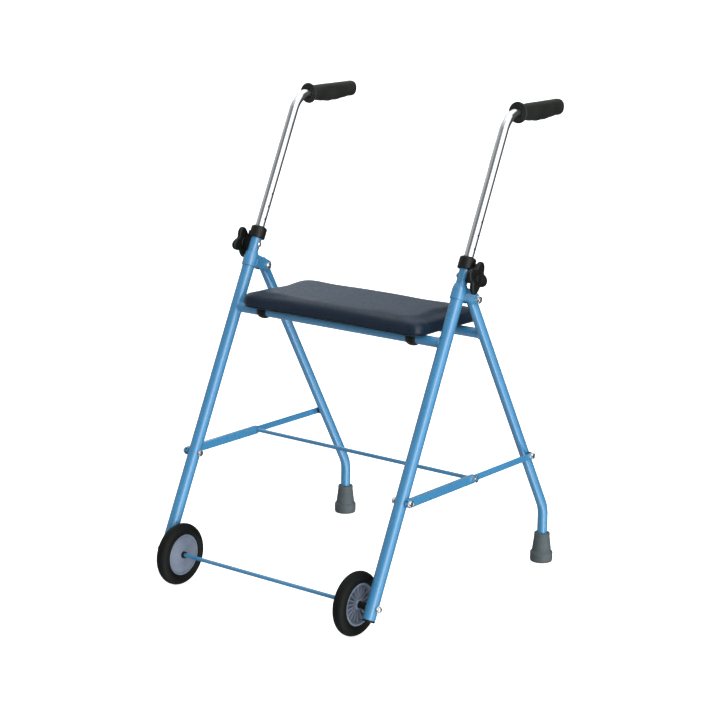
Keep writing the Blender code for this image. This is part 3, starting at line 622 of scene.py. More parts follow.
def hex_bolt(kind, side):
    """A bolt with a hexagon head on a washer face."""
    node = kind + "_" + side
    name = node + "_hex"
    place = outward(side, centre(node))
    low, high = extent(node, place)
    h, r, z1 = HEX_HEAD_H, high.x, high.z
    z0, wide = z1 - h, r * 1.04
    profile = [(0, z1 - h * 0.10), (r * 0.60, z1 - h * 0.10), (r * 0.70, z1), (r * 0.86, z1),
               (wide, z1 - h * 0.16), (wide, z0 + h * 0.22), (wide, z0 + h * 0.20), (0, z0 + h * 0.20)]
    head = turned(name, profile, place, steps=72, shape=hexagon(r))
    face = [(0, z0 + h * 0.26), (r * 0.98, z0 + h * 0.26), (wide, z0 + h * 0.18), (wide, z0), (0, z0)]
    washer = turned(name + "_flange", face, place, steps=48)
    shank = rod(name + "_shank", BOLT_R, low.z, z0 + h * 0.1, place, steps=32)
    piece(joined(head, [washer, shank]), "zinc_plate", node)


def domed_bolt(kind, side, head_h, shank_r):
    """A bolt with a round head that faces the middle of the frame."""
    node = kind + "_" + side
    place = outward(side, centre(node), True)
    low, high = extent(node, place)
    r, z0 = high.x, high.z - head_h
    profile = [(0, high.z)]
    for i in range(1, 9):
        a = pi / 2 * i / 9
        profile.append((r * sin(a), z0 + head_h * (0.22 + 0.78 * cos(a))))
    profile += [(r, z0 + head_h * 0.18), (r * 0.97, z0), (shank_r, z0), (shank_r, low.z + 0.0004),
                (shank_r - 0.0004, low.z), (0, low.z)]
    piece(turned(node + "_domed", profile, place, steps=48), "zinc_plate", node)


# ------------------------------------------------------------ front frame


SHOULDER = 0.009                  # height of the cone at the top of the hinge's sleeve


def straight_tube(node, side, wall, holes):
    """A drilled blue tube along the front leg's line."""
    place = LEG[side]
    low, high = extent(node, place)
    obj = tube(node + "_tube", [(0, 0, low.z), (0, 0, high.z)], high.x, wall, place)
    piece(drilled(obj, holes), "blue_paint", node)


def front_tubes(side):
    """Front leg, the narrower tube above it, and the plug in the foot."""
    place = LEG[side]
    track = place.translation.x
    brace = centre("front_brace_bolt_" + side)
    clamp_point = Vector(JOINT["clamp_knob_turn_" + side]["pos_m"])
    brace.x = clamp_point.x = track
    straight_tube("front_leg_" + side, side, LEG_WALL,
                  [hole(side, AXLE_R + GAP, place.translation), hole(side, BOLT_HOLE_R, brace)])
    straight_tube("upper_tube_" + side, side, TUBE_WALL, [hole(side, KNOB_BORE_R, clamp_point)])

    low, high = extent("front_leg_" + side, place)
    plug_low, plug_high = extent("leg_plug_" + side, place)
    r, inside = high.x, high.x - LEG_WALL - GAP
    bottom, top, foot = plug_low.z, plug_high.z, low.z - GAP
    profile = [(0, top), (inside - 0.001, top), (inside, top - 0.001), (inside, foot), (r - 0.0002, foot),
               (r, foot - 0.0004), (r, bottom + 0.0012), (r - 0.0004, bottom + 0.0005), (r - 0.0013, bottom),
               (r * 0.62, bottom), (r * 0.56, bottom + 0.0008), (0, bottom + 0.0008)]
    piece(turned("leg_plug_" + side + "_cap", profile, place), "black_plastic", "leg_plug_" + side)


def hinge_bracket(side):
    """Sleeve round the leg's top with two cheeks, and the welds between them."""
    place = LEG[side]
    node = "hinge_bracket_" + side
    low, high = extent(node, place)
    leg_r, sleeve_r = extent("front_leg_" + side, place)[1].x, high.x
    pivot = place.inverted() @ Vector((place.translation.x, *JOINT["rear_frame_fold"]["pos_m"][1:]))
    slot, cheek_x = REAR_R + 0.0004, REAR_R + 0.0028
    trim, past, deep = 0.0015, 0.02, 0.08
    side_plane = place @ SIDE_PLANE
    outline = [(0, high.z - trim), (0, low.z + trim)]
    outline += arc(pivot.y, pivot.z, high.y - pivot.y, -pi / 2, pi / 2, 25)
    bracket = slab(node + "_weldment", outline, -cheek_x, cheek_x, side_plane, 0.0006, rounds=3)
    between = slab("gap", oblong(sleeve_r + 0.0025, low.z - past, deep, high.z + past), -slot, slot,
                   side_plane, 0.0002)
    combine(bracket, [between, hole(side, BOLT_HOLE_R, place @ Vector((0, pivot.y, pivot.z)))])
    profile = [(0, low.z), (sleeve_r - 0.0006, low.z), (sleeve_r, low.z + 0.0006),
               (sleeve_r, high.z - SHOULDER), (leg_r + 0.0007, high.z - 0.0004), (leg_r + 0.0004, high.z),
               (0, high.z)]
    combine(bracket, [turned("sleeve", eased(profile, 0.0008), place)], "UNION")
    combine(bracket, [rod("bore", leg_r + GAP, low.z - 0.05, high.z + 0.05, place, edge=0.0001)])
    shade(bracket, 30)
    welds, count = [], 26
    bead_low, bead_length = low.z + 0.003, high.z - SHOULDER - low.z - 0.005
    y = sqrt(sleeve_r ** 2 - cheek_x ** 2) + 0.0004
    radii = [0.0004] + [0.0011 + 0.00012 * sin(k * 2.1) for k in range(count - 2)] + [0.0004]
    for x in (cheek_x, -cheek_x):
        points = [place @ Vector((x, y, bead_low + bead_length * i / (count - 1))) for i in range(count)]
        welds.append(skin("weld", along(points, radii, 10), sharp=80))
    piece(joined(bracket, welds), "blue_paint", node)
    domed_bolt("hinge_bolt", side, HINGE_HEAD_H, BOLT_R)
    nut("hinge_nut", side)


def cross_tube(node, leg_places, leg_r):
    """A tube between two legs, its ends coped to them and welded round."""
    middle, half = measured(node)
    reach = leg_places["left"].translation.x
    obj = tube(node + "_welded", [(0, 0, -reach), (0, 0, reach)], half.z, REAR_WALL, crosswise(middle))
    tools, welds, count = [], [], 72
    for side, sign in SIDES:
        leg = leg_places[side]
        tools.append(rod("cope", leg_r + GAP, -0.9, 0.9, leg, edge=0.0001))
        points = []
        for i in range(count):
            a = 2 * pi * i / count
            offset = Vector((0, cos(a), sin(a))) * (half.z + 0.0003)
            aside = offset.dot(leg.col[1].to_3d())
            x = sign * (reach - sqrt(max((leg_r + 0.0006) ** 2 - aside ** 2, 0)))
            points.append(Vector((x, middle.y + offset.y, middle.z + offset.z)))
        welds.append(bead("weld", points, 0.0014))
    combine(obj, tools)
    piece(joined(obj, welds), "blue_paint", node)


def axle():
    """The thin rod between the legs that carries both wheels."""
    middle, half = measured("axle_rod")
    obj = rod("axle_rod_round", AXLE_R, -half.x, half.x, crosswise(middle), 48, 0.0006)
    piece(obj, "blue_paint", "axle_rod")
    for side in LEG:
        nut("axle_nut", side, cap=True)


# ------------------------------------------------------------ height clamp
def clamp(side, sign):
    """Collar with its housing, and the clamp bolt."""
    place = LEG[side]
    low, high = extent("clamp_collar_" + side, place)
    upper = extent("upper_tube_" + side, place)[1]
    clamp_point = place.inverted() @ Vector(JOINT["clamp_knob_turn_" + side]["pos_m"])
    ring_low = upper.z - 0.018
    r = high.y
    profile = [(0, high.z), (r - 0.0045, high.z), (r - 0.0008, high.z - 0.0022), (r, high.z - 0.0045),
               (r, ring_low + 0.001), (r - 0.0008, ring_low), (0, ring_low)]
    collar = turned("clamp_collar_" + side + "_moulding", eased(profile, 0.0008), place)
    depth = max(abs(low.x), abs(high.x))
    outline = eased([(sign * x, y) for x, y in oblong(0.004, -0.0055, depth, 0.0055)], 0.0020, True, 5)
    housing = slab("housing", outline, low.z, ring_low + 0.006, place, 0.0012, rounds=3)
    outline = [(sign * x, y) for x, y in oblong(0.008, -0.0016, 0.0235, 0.0016)]
    web = slab("web", outline, ring_low, ring_low + 0.014, place, 0.0008)
    combine(collar, [housing, web], "UNION")
    tight, loose, lip = HANDLE_R + GAP, upper.x + GAP, upper.z + GAP
    bore = [(0, lip + 0.06), (tight, lip + 0.06), (tight, lip), (loose, lip), (loose, lip - 0.08),
            (0, lip - 0.08)]
    combine(collar, [turned("bore", bore, place),
                     hole(side, KNOB_BORE_R, place @ Vector((0, 0, clamp_point.z)), 0.04)])
    bevel = collar.modifiers.new("ease", "BEVEL")
    bevel.width = 0.0005
    bevel.segments = 2
    bevel.limit_method = "ANGLE"
    bevel.angle_limit = radians(40)
    piece(shade(bake(collar), 40), "black_plastic", "clamp_collar_" + side)
    domed_bolt("clamp_bolt", side, CLAMP_HEAD_H, CLAMP_SHANK_R)


KNOB_TURN = {"left": 0.0, "right": radians(-32)}   # how each knob happens to stand
KNOB_COUNT = 144


def knob(side):
    """Four-lobed clamp knob with rounded edges, a boss behind and a cap in front."""
    node = "knob_" + side
    turn = outward(side, JOINT["clamp_knob_turn_" + side]["pos_m"])
    inverse = turn.inverted()
    points = [inverse @ v.co for v in frame["nodes"][node].data.vertices]
    tip = max(hypot(p.x, p.y) for p in points)
    back, front = (choose(p.z for p in points) for choose in (min, max))
    valley, boss_h, boss_r, cap_r = 0.0205, 0.0020, 0.0105, 0.0088
    under = back + boss_h

    def circle(radius, z):
        return [Vector((radius * cos(a), radius * sin(a), z)) for a in angles]

    def lobes(inset, z, dish=0.0):
        ring = []
        for a in angles:
            lobe = (0.5 + 0.5 * cos(4 * (a - KNOB_TURN[side]))) ** 0.9
            r = valley + (tip - valley) * lobe - inset
            ring.append(Vector((r * cos(a), r * sin(a), z - dish * (1 - lobe))))
        return ring

    angles = [2 * pi * i / KNOB_COUNT for i in range(KNOB_COUNT)]
    blind = under + 0.0068
    rings = [[Vector((0, 0, blind))]]
    for r, z in ((KNOB_BORE_R, blind), (KNOB_BORE_R, back + 0.0004), (KNOB_BORE_R + 0.0004, back),
                 (boss_r - 0.0006, back), (boss_r, back + 0.0006), (boss_r, under)):
        rings.append(circle(r, z))
    for inset, rise in ((0.0046, 0.0), (0.0028, 0.0001), (0.0014, 0.0006), (0.0005, 0.0015), (0.0, 0.0030)):
        rings.append(lobes(inset, under + rise))
    for inset, drop in ((0.0, 0.0036), (0.0004, 0.0022), (0.0014, 0.0010), (0.0030, 0.0002),
                        (0.0052, -0.0001), (0.0080, 0.0003)):
        rings.append(lobes(inset, front - drop, 0.0006))
    for r, drop in ((cap_r + 0.0004, 0.0010), (cap_r, 0.0012), (cap_r - 0.0002, 0.0004),
                    (cap_r - 0.0008, 0.0), (cap_r * 0.6, -0.0006)):
        rings.append(circle(r, front - drop))
    rings.append([Vector((0, 0, front + 0.0008))])
    piece(skin(node + "_moulding", rings, turn, sharp=38), "black_plastic", node)


# ------------------------------------------------------------ handles
HANDLE_BEND_R, HOLE_PITCH, HOLE_R = 0.050, 0.027, 0.0034
HOLES = range(-2, 5)              # holes counted up from the one that the clamp holds


def bent_tube(name, start, corner, end, radius, arc_points, run_points, outer, wall):
    """A tube with a straight run, one bend and another straight run."""
    path = filleted(start, corner, end, radius, arc_points)
    run = [start.lerp(path[1], i / run_points) for i in range(run_points)]
    return tube(name, run + path[1:], outer, wall)


def handle(side):
    """Chromed tube with its row of holes, bent level at the top."""
    place = LEG[side]
    node = "handle_tube_" + side
    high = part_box(node)[1]
    track = place.translation.x
    level = high.z - HANDLE_R
    direction = place.col[2].to_3d()
    corner = place.translation + direction * ((level - place.translation.z) / direction.z)
    start = place @ Vector((0, 0, extent(node, place)[0].z))
    obj = bent_tube(node + "_plated", start, corner, Vector((track, high.y, level)), HANDLE_BEND_R, 22, 6,
                    HANDLE_R, TUBE_WALL)
    first = Vector(JOINT["clamp_knob_turn_" + side]["pos_m"])
    first.x = track
    holes = [hole(side, HOLE_R, first + direction * HOLE_PITCH * i, 0.02, 28) for i in HOLES]
    piece(drilled(obj, holes), "chrome", node)


def grip(side):
    """Moulded grip: flange, palm swell below, finger waves and a slanted end."""
    node = "grip_" + side
    low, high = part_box(node)
    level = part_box("handle_tube_" + side)[1].z - HANDLE_R
    track, length = centre(node).x, high.y - low.y
    count, stations = 72, 96
    edge, end_r, tilt = 0.0026, 0.0016, 0.10
    bore, deep, body_end = HANDLE_R + GAP, length - 0.006, length - 0.007

    def rise(t, start, run):
        return min(1.0, max(0.0, (t - start) / run))

    def bell(t, at, width):
        near = max(0.0, 1 - abs((t - at) / width))
        return near ** 2 * (3 - 2 * near)

    def section(t):
        flange = max(0.0, 1 - max(0.0, t - 0.022) / 0.040) ** 1.6
        palm = sin(pi * rise(t, 0.07, 0.80)) ** 1.2
        fingers = 0.5 + 0.5 * cos(2 * pi * (t - 0.14) / 0.185)
        swell = max(0.0, (t - 0.55) / 0.45)
        half = 0.0150 + 0.0062 * flange + 0.0014 * palm + 0.0016 * swell
        top = 0.0150 + 0.0060 * flange + 0.0008 * palm + 0.0018 * swell
        bottom = 0.0150 + 0.0062 * flange + 0.0060 * palm + 0.0006 * swell
        return half, top, bottom - 0.0011 * fingers * bell(t, 0.50, 0.42)

    def ring(y, slant, half, top, bottom, squareness=2.0):
        points = []
        for i in range(count):
            a = 2 * pi * i / count
            c, s = cos(a), sin(a)
            x = abs(c) ** (2 / squareness) * (1 if c > 0 else -1) * half
            z = abs(s) ** (2 / squareness) * (1 if s > 0 else -1) * (top if s > 0 else bottom)
            points.append(Vector((track + x, low.y + y + slant * z, level + z)))
        return points

    rings = [[Vector((track, low.y + deep, level))]]
    for r, y in ((bore - 0.001, deep), (bore, deep - 0.001), (bore, 0.001), (bore + 0.0006, 0.0)):
        rings.append(ring(y, 0, r, r, r))
    for k in range(5):
        a = pi / 2 * k / 4
        rings.append(ring(edge * (1 - cos(a)), 0, *(size - edge * (1 - sin(a)) for size in section(0.0))))
    for k in range(1, stations):
        y = edge + (body_end - edge) * k / (stations - 1)
        t = y / length
        sizes = section(t)
        rings.append(ring(y, tilt * rise(t, 0.75, 0.25), *sizes, 2.0 + 0.45 * rise(t, 0.08, 0.2)))
    for k in range(1, 7):
        a = pi / 2 * k / 6
        shrunk = (size * (1 - 0.30 * (1 - cos(a))) for size in sizes)
        rings.append(ring(body_end + (length - end_r - body_end) * sin(a), tilt, *shrunk, 2.45))
    rings.append(ring(length - end_r, tilt, *(size * 0.45 for size in sizes), 2.4))
    rings.append([Vector((track, low.y + length - end_r + 0.0002, level))])
    piece(skin(node + "_moulding", rings, sharp=50), "grip_rubber", node)


# ------------------------------------------------------------ wheels
RIM_HALF = 0.010
RIB_COUNT, RIB_REACH, RIB_HALF, RIB_TOP = 18, 0.0364, 0.0008, 0.0052
OUTER_WEB, INNER_WEB = -0.0056, -0.0078    # the two faces of the hub's web
GROOVES, GROOVE_DEPTH, GROOVE_HALF = (-0.0062, 0.0, 0.0062), 0.00055, 0.00075
RIDGES = ((0.0075, 0.00035, 0.0009), (0.0035, 0.00025, 0.0006))   # beyond the rim, height, half width


def tyre_profile(rim, outer_r, half):
    """Half-round tread with three grooves and two fine ridges on each side wall."""
    crown, seat, steps, shortest = outer_r - half, rim + GAP, 240, 0.00022
    profile = []
    for i in range(steps + 1):
        a = pi * 0.985 * (0.5 - i / steps)
        r, z = half * cos(a), half * sin(a)
        dip = 0.0
        if r > half * 0.5:
            dip = sum(GROOVE_DEPTH * max(0.0, 1 - ((z - at) / GROOVE_HALF) ** 2) for at in GROOVES)
        ridge = sum(h * max(0.0, 1 - ((crown + r - rim - out) / wide) ** 2) for out, h, wide in RIDGES)
        point = (crown + (half - dip) * cos(a), (half - dip) * sin(a) + (ridge if z > 0 else -ridge))
        if not profile or hypot(point[0] - profile[-1][0], point[1] - profile[-1][1]) > shortest:
            profile.append(point)
    return profile + [(seat + 0.0006, -RIM_HALF - 0.0012), (seat, -RIM_HALF), (seat, RIM_HALF),
                      (seat + 0.0006, RIM_HALF + 0.0012)]


def wheel(side):
    """Tyre with grooves, hub with a flat dish inside and deep ribs outside, and bush."""
    spin = Vector(JOINT["wheel_spin_" + side]["pos_m"])
    spin.x = centre("tyre_" + side).x
    place = axes(spin, OUT[side], (0, 0, 1))
    size = extent("tyre_" + side, place)[1]
    r = extent("hub_" + side, place)[1].x
    obj = turned("tyre_" + side + "_moulding", tyre_profile(r, size.x, size.z), place, True, WHEEL_ROUND, 40)
    piece(obj, "tyre_rubber", "tyre_" + side)

    profile = [(0, 0.009), (0.0104, 0.009), (0.0110, 0.0084), (0.0122, OUTER_WEB + 0.0006),
               (0.0128, OUTER_WEB), (0.0345, OUTER_WEB), (0.0352, OUTER_WEB + 0.0006),
               (0.0370, RIM_HALF - 0.0010), (0.0376, RIM_HALF - 0.0001), (0.0382, RIM_HALF),
               (r - 0.0007, RIM_HALF), (r, RIM_HALF - 0.0007), (r, -RIM_HALF + 0.0007),
               (r - 0.0007, -RIM_HALF), (0.0390, -RIM_HALF), (0.0384, -RIM_HALF + 0.0004),
               (0.0378, INNER_WEB + 0.0008), (0.0366, INNER_WEB + 0.0012), (0.0352, INNER_WEB + 0.0004),
               (0.0330, INNER_WEB), (0.0200, INNER_WEB), (0.0190, INNER_WEB - 0.0005),
               (0.0130, INNER_WEB - 0.0005), (0.0118, -0.0086), (0.0110, -0.0090), (0, -0.009)]
    hub = turned("hub_" + side + "_moulding", profile, place, steps=WHEEL_ROUND)
    ribs = []
    for i in range(RIB_COUNT // 2):
        turn = place @ Matrix.Rotation(pi * i / (RIB_COUNT // 2), 4, "Z")
        ribs.append(slab("rib", oblong(-RIB_REACH, -RIB_HALF, RIB_REACH, RIB_HALF), OUTER_WEB - 0.0008,
                         RIB_TOP, turn, 0.0003))
    combine(hub, ribs, "UNION")
    low, high = extent("hub_bush_" + side, place)
    combine(hub, [rod("bore", high.x + GAP, -0.03, 0.03, place, 48, 0.0001)])
    piece(shade(hub, 30), "hub_grey", "hub_" + side)
    profile = eased(oblong(AXLE_R + GAP, low.z, high.x, high.z), 0.0004, True, 2)
    bush = turned("hub_bush_" + side + "_sleeve", profile, place, True, 48)
    piece(bush, "black_plastic", "hub_bush_" + side)


# ------------------------------------------------------------ rear frame
REAR_BEND_R = 0.060
FERRULE_TOP_R, FERRULE_BASE_H, SOCKET_FLOOR = 0.0162, 0.021, 0.0115


def rear_frame(side):
    """Rear leg bent upright, its ferrule, and the spacer of the brace."""
    place = REAR[side]
    node = "rear_leg_" + side
    start = place @ Vector((0, 0, extent(node, place)[1].z))
    track = place.translation.x
    foot = centre("ferrule_" + side)
    direction = place.col[2].to_3d()
    corner = place.translation + direction * ((foot.y - place.translation.y) / direction.y)
    corner.x = track
    end = Vector((track, foot.y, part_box(node)[0].z))
    leg = bent_tube(node + "_tube", start, corner, end, REAR_BEND_R, 18, 8, REAR_R, REAR_WALL)
    piece(drilled(leg, [hole(side, BOLT_HOLE_R, place.translation)]), "blue_paint", node)

    node = "ferrule_" + side
    r, h = measured(node)[1].x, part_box(node)[1].z
    bore, top, base = REAR_R + GAP, FERRULE_TOP_R, FERRULE_BASE_H
    waist, waist_z, neck_z = r - 0.0036, base + 0.0046, h - 0.0062
    outer = [(0, 0.0012), (0.0080, 0.0012), (0.0084, 0.0), (0.0120, 0.0), (0.0124, 0.0012),
             (0.0158, 0.0012), (0.0162, 0.0), (r - 0.0030, 0.0), (r - 0.0012, 0.0006),
             (r - 0.0003, 0.0022), (r, 0.0045), (r, base - 0.0022), (r - 0.0006, base - 0.0004),
             (r - 0.0024, base + 0.0008), (r - 0.0034, base + 0.0030), (waist, waist_z)]
    for i in range(1, 9):
        outer.append((waist + (top - waist) * i / 8, waist_z + (neck_z - waist_z) * i / 8))
    outer += [(top + 0.0003, h - 0.0056), (top + 0.0004, h - 0.0022), (top - 0.0004, h - 0.0006),
              (top - 0.0014, h), (bore + 0.0012, h), (bore + 0.0002, h - 0.0008), (bore, h - 0.0022),
              (bore, SOCKET_FLOOR), (0, SOCKET_FLOOR)]
    obj = turned(node + "_moulding", outer, axes((track, foot.y, 0), (0, 0, 1)), steps=96, sharp=40)
    piece(obj, "ferrule_rubber", node)

    node = "brace_spacer_" + side
    middle = centre("rear_brace_bolt_" + side)
    turn = outward(side, (track, middle.y, middle.z))
    high = extent(node, turn)[1]
    r, reach = high.x, high.z
    profile = [(0, reach), (r - 0.0022, reach), (r - 0.0014, reach - 0.0005), (r - 0.0012, reach - 0.0012),
               (r, 0), (0, 0)]
    spacer = turned(node + "_moulding", profile, turn, steps=64)
    combine(spacer, [rod("seat", REAR_R + GAP, -0.5, 0, place, edge=0.0001)])
    piece(shade(spacer), "black_plastic", node)


# ------------------------------------------------------------ braces
CHANNEL_WALL = 0.0015


def link(side, kind, suffix, edge, channel=False):
    """A bar with round ends and a bolt hole in each, as a channel open below or as a plain flat."""
    node = kind + "_" + side
    low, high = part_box(node)
    middle, half = measured(node)
    h, ends = half.z, (low.y + half.z, high.y - half.z)
    outline = arc(ends[0], middle.z, h, pi / 2, 3 * pi / 2, 21)
    outline += arc(ends[1], middle.z, h, -pi / 2, pi / 2, 21)
    bar = slab(node + suffix, outline, low.x, high.x, SIDE_PLANE, edge, rounds=3)
    tools = [hole(side, BOLT_HOLE_R, (middle.x, y, middle.z)) for y in ends]
    if channel:
        wall = CHANNEL_WALL
        inner = oblong(low.y - 0.01, middle.z - 0.03, high.y + 0.01, high.z - wall)
        tools.insert(0, slab("channel", inner, low.x + wall, high.x - wall, SIDE_PLANE, 0.0005))
    combine(bar, tools)
    piece(shade(bar, 30), "blue_paint", node)


def braces(side):
    """Both links of a side brace, and their fasteners."""
    link(side, "front_link", "_channel", 0.0009, True)
    link(side, "rear_link", "_bar", 0.0006)
    hex_bolt("front_brace_bolt", side)
    nut("front_brace_nut", side, True)
    hex_bolt("rear_brace_bolt", side)
    nut("rod_nut", side)


def cross_rod():
    """The thin rod between the braces, with threaded ends."""
    middle, half = measured("brace_cross_rod")
    end, r, ease, pitch, turns = half.x, half.z, 0.0006, 0.00125, 5
    profile = [(0, -end), (r - ease, -end), (r, ease - end)]
    for k in range(1, turns + 1):
        z = ease - end + pitch * k
        profile += [(r - 0.0005, z - pitch / 2), (r, z)]
    profile += [(p, -z) for p, z in profile[::-1]]
    obj = turned("brace_cross_rod_threaded", profile, crosswise(middle), steps=40)
    piece(obj, "blue_paint", "brace_cross_rod")


# ------------------------------------------------------------ seat
SIDE_PARTS = (62, 24)             # pieces of a long side and of a short side of the outline
SEAT_CORNER_R, BOARD_CORNER_R = 0.028, 0.016
SEAT_BOW = 0.0025                 # how far the cushion's sides pull in between its corners
SWELL_CAP = 0.0055                # the most that the simulation may move the vinyl
SCREW_BORE_R, CLIP_EAR = 0.0022, 0.0045


def rectangle(half_x, half_y, radius, count=13, bow=0.0):
    """Outline of a rectangle with round corners; bow pulls its sides in."""
    points = []
    for quarter, (sx, sy) in enumerate(((1, 1), (-1, 1), (-1, -1), (1, -1))):
        start = quarter * pi / 2
        points += arc(sx * (half_x - radius), sy * (half_y - radius), radius, start, start + pi / 2, count)
    dense = []
    for i, point in enumerate(points):
        p, q = Vector(point), Vector(points[(i + 1) % len(points)])
        parts = SIDE_PARTS[i // count % 2] if i % count == count - 1 else 1
        dense += [p.lerp(q, k / parts) for k in range(parts)]
    made = []
    for p in dense:
        x = p.x * (1 - bow * cos(pi / 2 * min(1, abs(p.y) / half_y)) / half_x)
        y = p.y * (1 - bow * cos(pi / 2 * min(1, abs(p.x) / half_x)) / half_y)
        made.append(Vector((x, y)))
    return made


def swollen(obj, floor_z, cap):
    """Blow the closed mesh up as cloth, then move it by the smoothed result, no point further than cap."""
    rest = [v.co.copy() for v in obj.data.vertices]
    group = obj.vertex_groups.new(name="stapled")
    group.add([v.index for v in obj.data.vertices if v.co.z < floor_z + 0.0035], 1.0, "REPLACE")
    settings = obj.modifiers.new("swell", "CLOTH").settings
    settings.quality = 8
    settings.mass = 0.3
    settings.tension_stiffness = settings.compression_stiffness = 22
    settings.shear_stiffness = 12
    settings.bending_stiffness = 1.2
    settings.use_pressure = True
    settings.uniform_pressure_force = 4.0
    settings.vertex_group_mass = "stapled"
    settings.effector_weights.gravity = 0
    scene = bpy.context.scene
    for number in range(1, 21):
        scene.frame_set(number)
    bake(obj)
    scene.frame_set(1)
    moves = [v.co - start for v, start in zip(obj.data.vertices, rest)]
    near = [[] for _ in rest]
    for edge in obj.data.edges:
        first, second = edge.vertices
        near[first].append(second)
        near[second].append(first)
    for _ in range(16):               # the foam inside lets no sharp fold form
        moves = [(moves[i] + sum((moves[j] for j in near[i]), Vector())) / (len(near[i]) + 1)
                 for i in range(len(moves))]
    for v, start, move in zip(obj.data.vertices, rest, moves):
        v.co = start + move * min(1.0, cap / max(move.length, 1e-9))
    obj.vertex_groups.clear()


def set_on(middle, outline):
    """An outline moved to the middle of a piece."""
    return [Vector((middle.x + p.x, middle.y + p.y)) for p in outline]


def cushion():
    """Vinyl cushion: foam under tension over a board, swollen by a cloth simulation."""
    low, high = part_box("seat_pad")
    middle, half = measured("seat_pad")
    steps = [(0.0100, 0.0004), (0.0040, 0.0006), (0.0020, 0.0016), (0.0010, 0.0040), (0.0004, 0.0080),
             (0.0004, 0.0130), (0.0010, 0.0180), (0.0028, 0.0220), (0.0060, 0.0248), (0.0110, 0.0262),
             (0.0200, 0.0268), (0.0450, 0.0272), (0.0700, 0.0275)]
    rings = []
    for inset, rise in steps:
        radius = max(SEAT_CORNER_R - inset * 0.6, 0.012)
        outline = rectangle(half.x - inset, half.y - inset, radius, bow=SEAT_BOW)
        rings.append([Vector((*p, low.z + rise)) for p in set_on(middle, outline)])
    obj = skin("seat_cushion", rings, sharp=180)
    even = obj.modifiers.new("even", "REMESH")
    even.mode = "VOXEL"
    even.voxel_size = 0.005
    bake(obj)
    swollen(obj, low.z, SWELL_CAP)
    smooth = obj.modifiers.new("calm", "SMOOTH")
    smooth.factor = 0.5
    smooth.iterations = 2
    fine = obj.modifiers.new("fine", "SUBSURF")
    fine.levels = fine.render_levels = 1
    bake(obj)
    normals = [v.normal.copy() for v in obj.data.vertices]
    for v, normal in zip(obj.data.vertices, normals):
        rise = (v.co.z - low.z) / (high.z - low.z)
        x, y = v.co.x - middle.x, v.co.y - middle.y
        edge = max(0.0, 1 - abs(rise - 0.18) / 0.30)
        corner = min(1.0, max(0.0, (abs(x) / half.x - 0.80) / 0.15))
        corner *= min(1.0, max(0.0, (abs(y) / half.y - 0.62) / 0.25))
        pleat = sin(atan2(y, x * 0.5) * 90 + 2.0 * noise.noise(v.co * 30))
        v.co += Vector((x, y, 0)).normalized() * edge * (0.00010 + 0.00050 * corner) * pleat
        v.co += normal * 0.0004 * noise.noise(v.co * 18) * max(0.0, min(1.0, (rise - 0.5) * 4))
    inset = 0.0119
    pocket = set_on(middle, rectangle(half.x - inset, half.y - inset, SEAT_CORNER_R - inset))
    tool = slab("pocket", pocket, low.z - 0.01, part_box("seat_board")[1].z + GAP, None, 0.0004)
    combine(obj, [tool])
    shade(obj, 50)
    piece(obj, "navy_vinyl", "seat_pad")


def hem():
    """The vinyl turned under the board's edge, gathered at the corners, and its staples."""
    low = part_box("seat_pad")[0]
    middle, half = measured("seat_pad")
    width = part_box("seat_clip_left")[0].y - low.y - 0.006
    under = low.z - 0.0001
    outer = rectangle(half.x - 0.004, half.y - 0.004, SEAT_CORNER_R - 0.003, bow=SEAT_BOW)
    tangents = [(outer[(i + 1) % len(outer)] - outer[i - 1]).normalized() for i in range(len(outer))]
    inward = [Vector((-t.y, t.x)) for t in tangents]
    rings = []
    for level, (inset, drop) in enumerate(((0.0, 0.0), (0.0008, 0.0007), (0.0030, 0.0009), (0.4, 0.0009),
                                           (0.97, 0.0009), (1.0, 0.0005), (0.97, 0.0), (0.4, 0.0))):
        reach = inset if inset < 0.1 else inset * width    # small insets are metres, the rest shares of width
        ring = []
        for i, (p, n) in enumerate(zip(outer, inward)):
            wave = 0.00025 * sin(i * 1.35) if 2 <= level <= 5 else 0.0
            ragged = 0.0012 * noise.noise(Vector((p.x * 40, p.y * 40, 3))) if inset >= 0.9 else 0.0
            q = p + n * (reach + ragged)
            ring.append(Vector((middle.x + q.x, middle.y + q.y, under - drop - wave)))
        rings.append(ring)
    piece(skin("seat_hem", rings, None, True, 40), "navy_vinyl", body=BODY["seat_pad"])
    wires, spacing = [], 7
    for p, t, n in list(zip(outer, tangents, inward))[::spacing]:
        q = p + n * width * 0.6
        mid = Vector((middle.x + q.x, middle.y + q.y, under - 0.0013))
        arm, rise = Vector((t.x, t.y, 0)) * 0.0042, Vector((0, 0, 0.0010))
        path = eased([mid - arm + rise, mid - arm, mid + arm, mid + arm + rise], 0.0005)
        wires.append(skin("wire", along(path, [0.00035] * len(path), 8), sharp=80))
    staples = joined(wires[0], wires[1:])
    staples.name = "seat_staples"
    piece(staples, "zinc_plate", body=BODY["seat_pad"])


def screw_hole(middle, z, low, high):
    return rod("pin", SCREW_BORE_R, low, high, axes((middle.x, middle.y, z), (0, 0, 1)), 24, 0.0001)


def seat_screw(side):
    """Pan-head screw with a cross slot, head down."""
    node = "seat_screw_" + side
    low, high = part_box(node)
    middle, half = measured(node)
    r, h = half.x, high.z - low.z
    down = axes((middle.x, middle.y, low.z), (0, 0, 1))
    profile = [(0, 0), (r * 0.45, 0.0001), (r * 0.80, 0.0006), (r * 0.97, 0.0014), (r, 0.0022),
               (0.0018, 0.0022), (0.0018, h - 0.0012), (0.0004, h), (0, h)]
    screw = turned(node + "_pan", profile, down, steps=40)
    for turn in (0, pi / 2):
        slot = oblong(-r * 0.55, -0.0004, r * 0.55, 0.0004)
        combine(screw, [slab("slot", slot, -0.001, 0.0010, down @ Matrix.Rotation(turn, 4, "Z"), 0.00005)])
    piece(shade(screw), "zinc_plate", node)


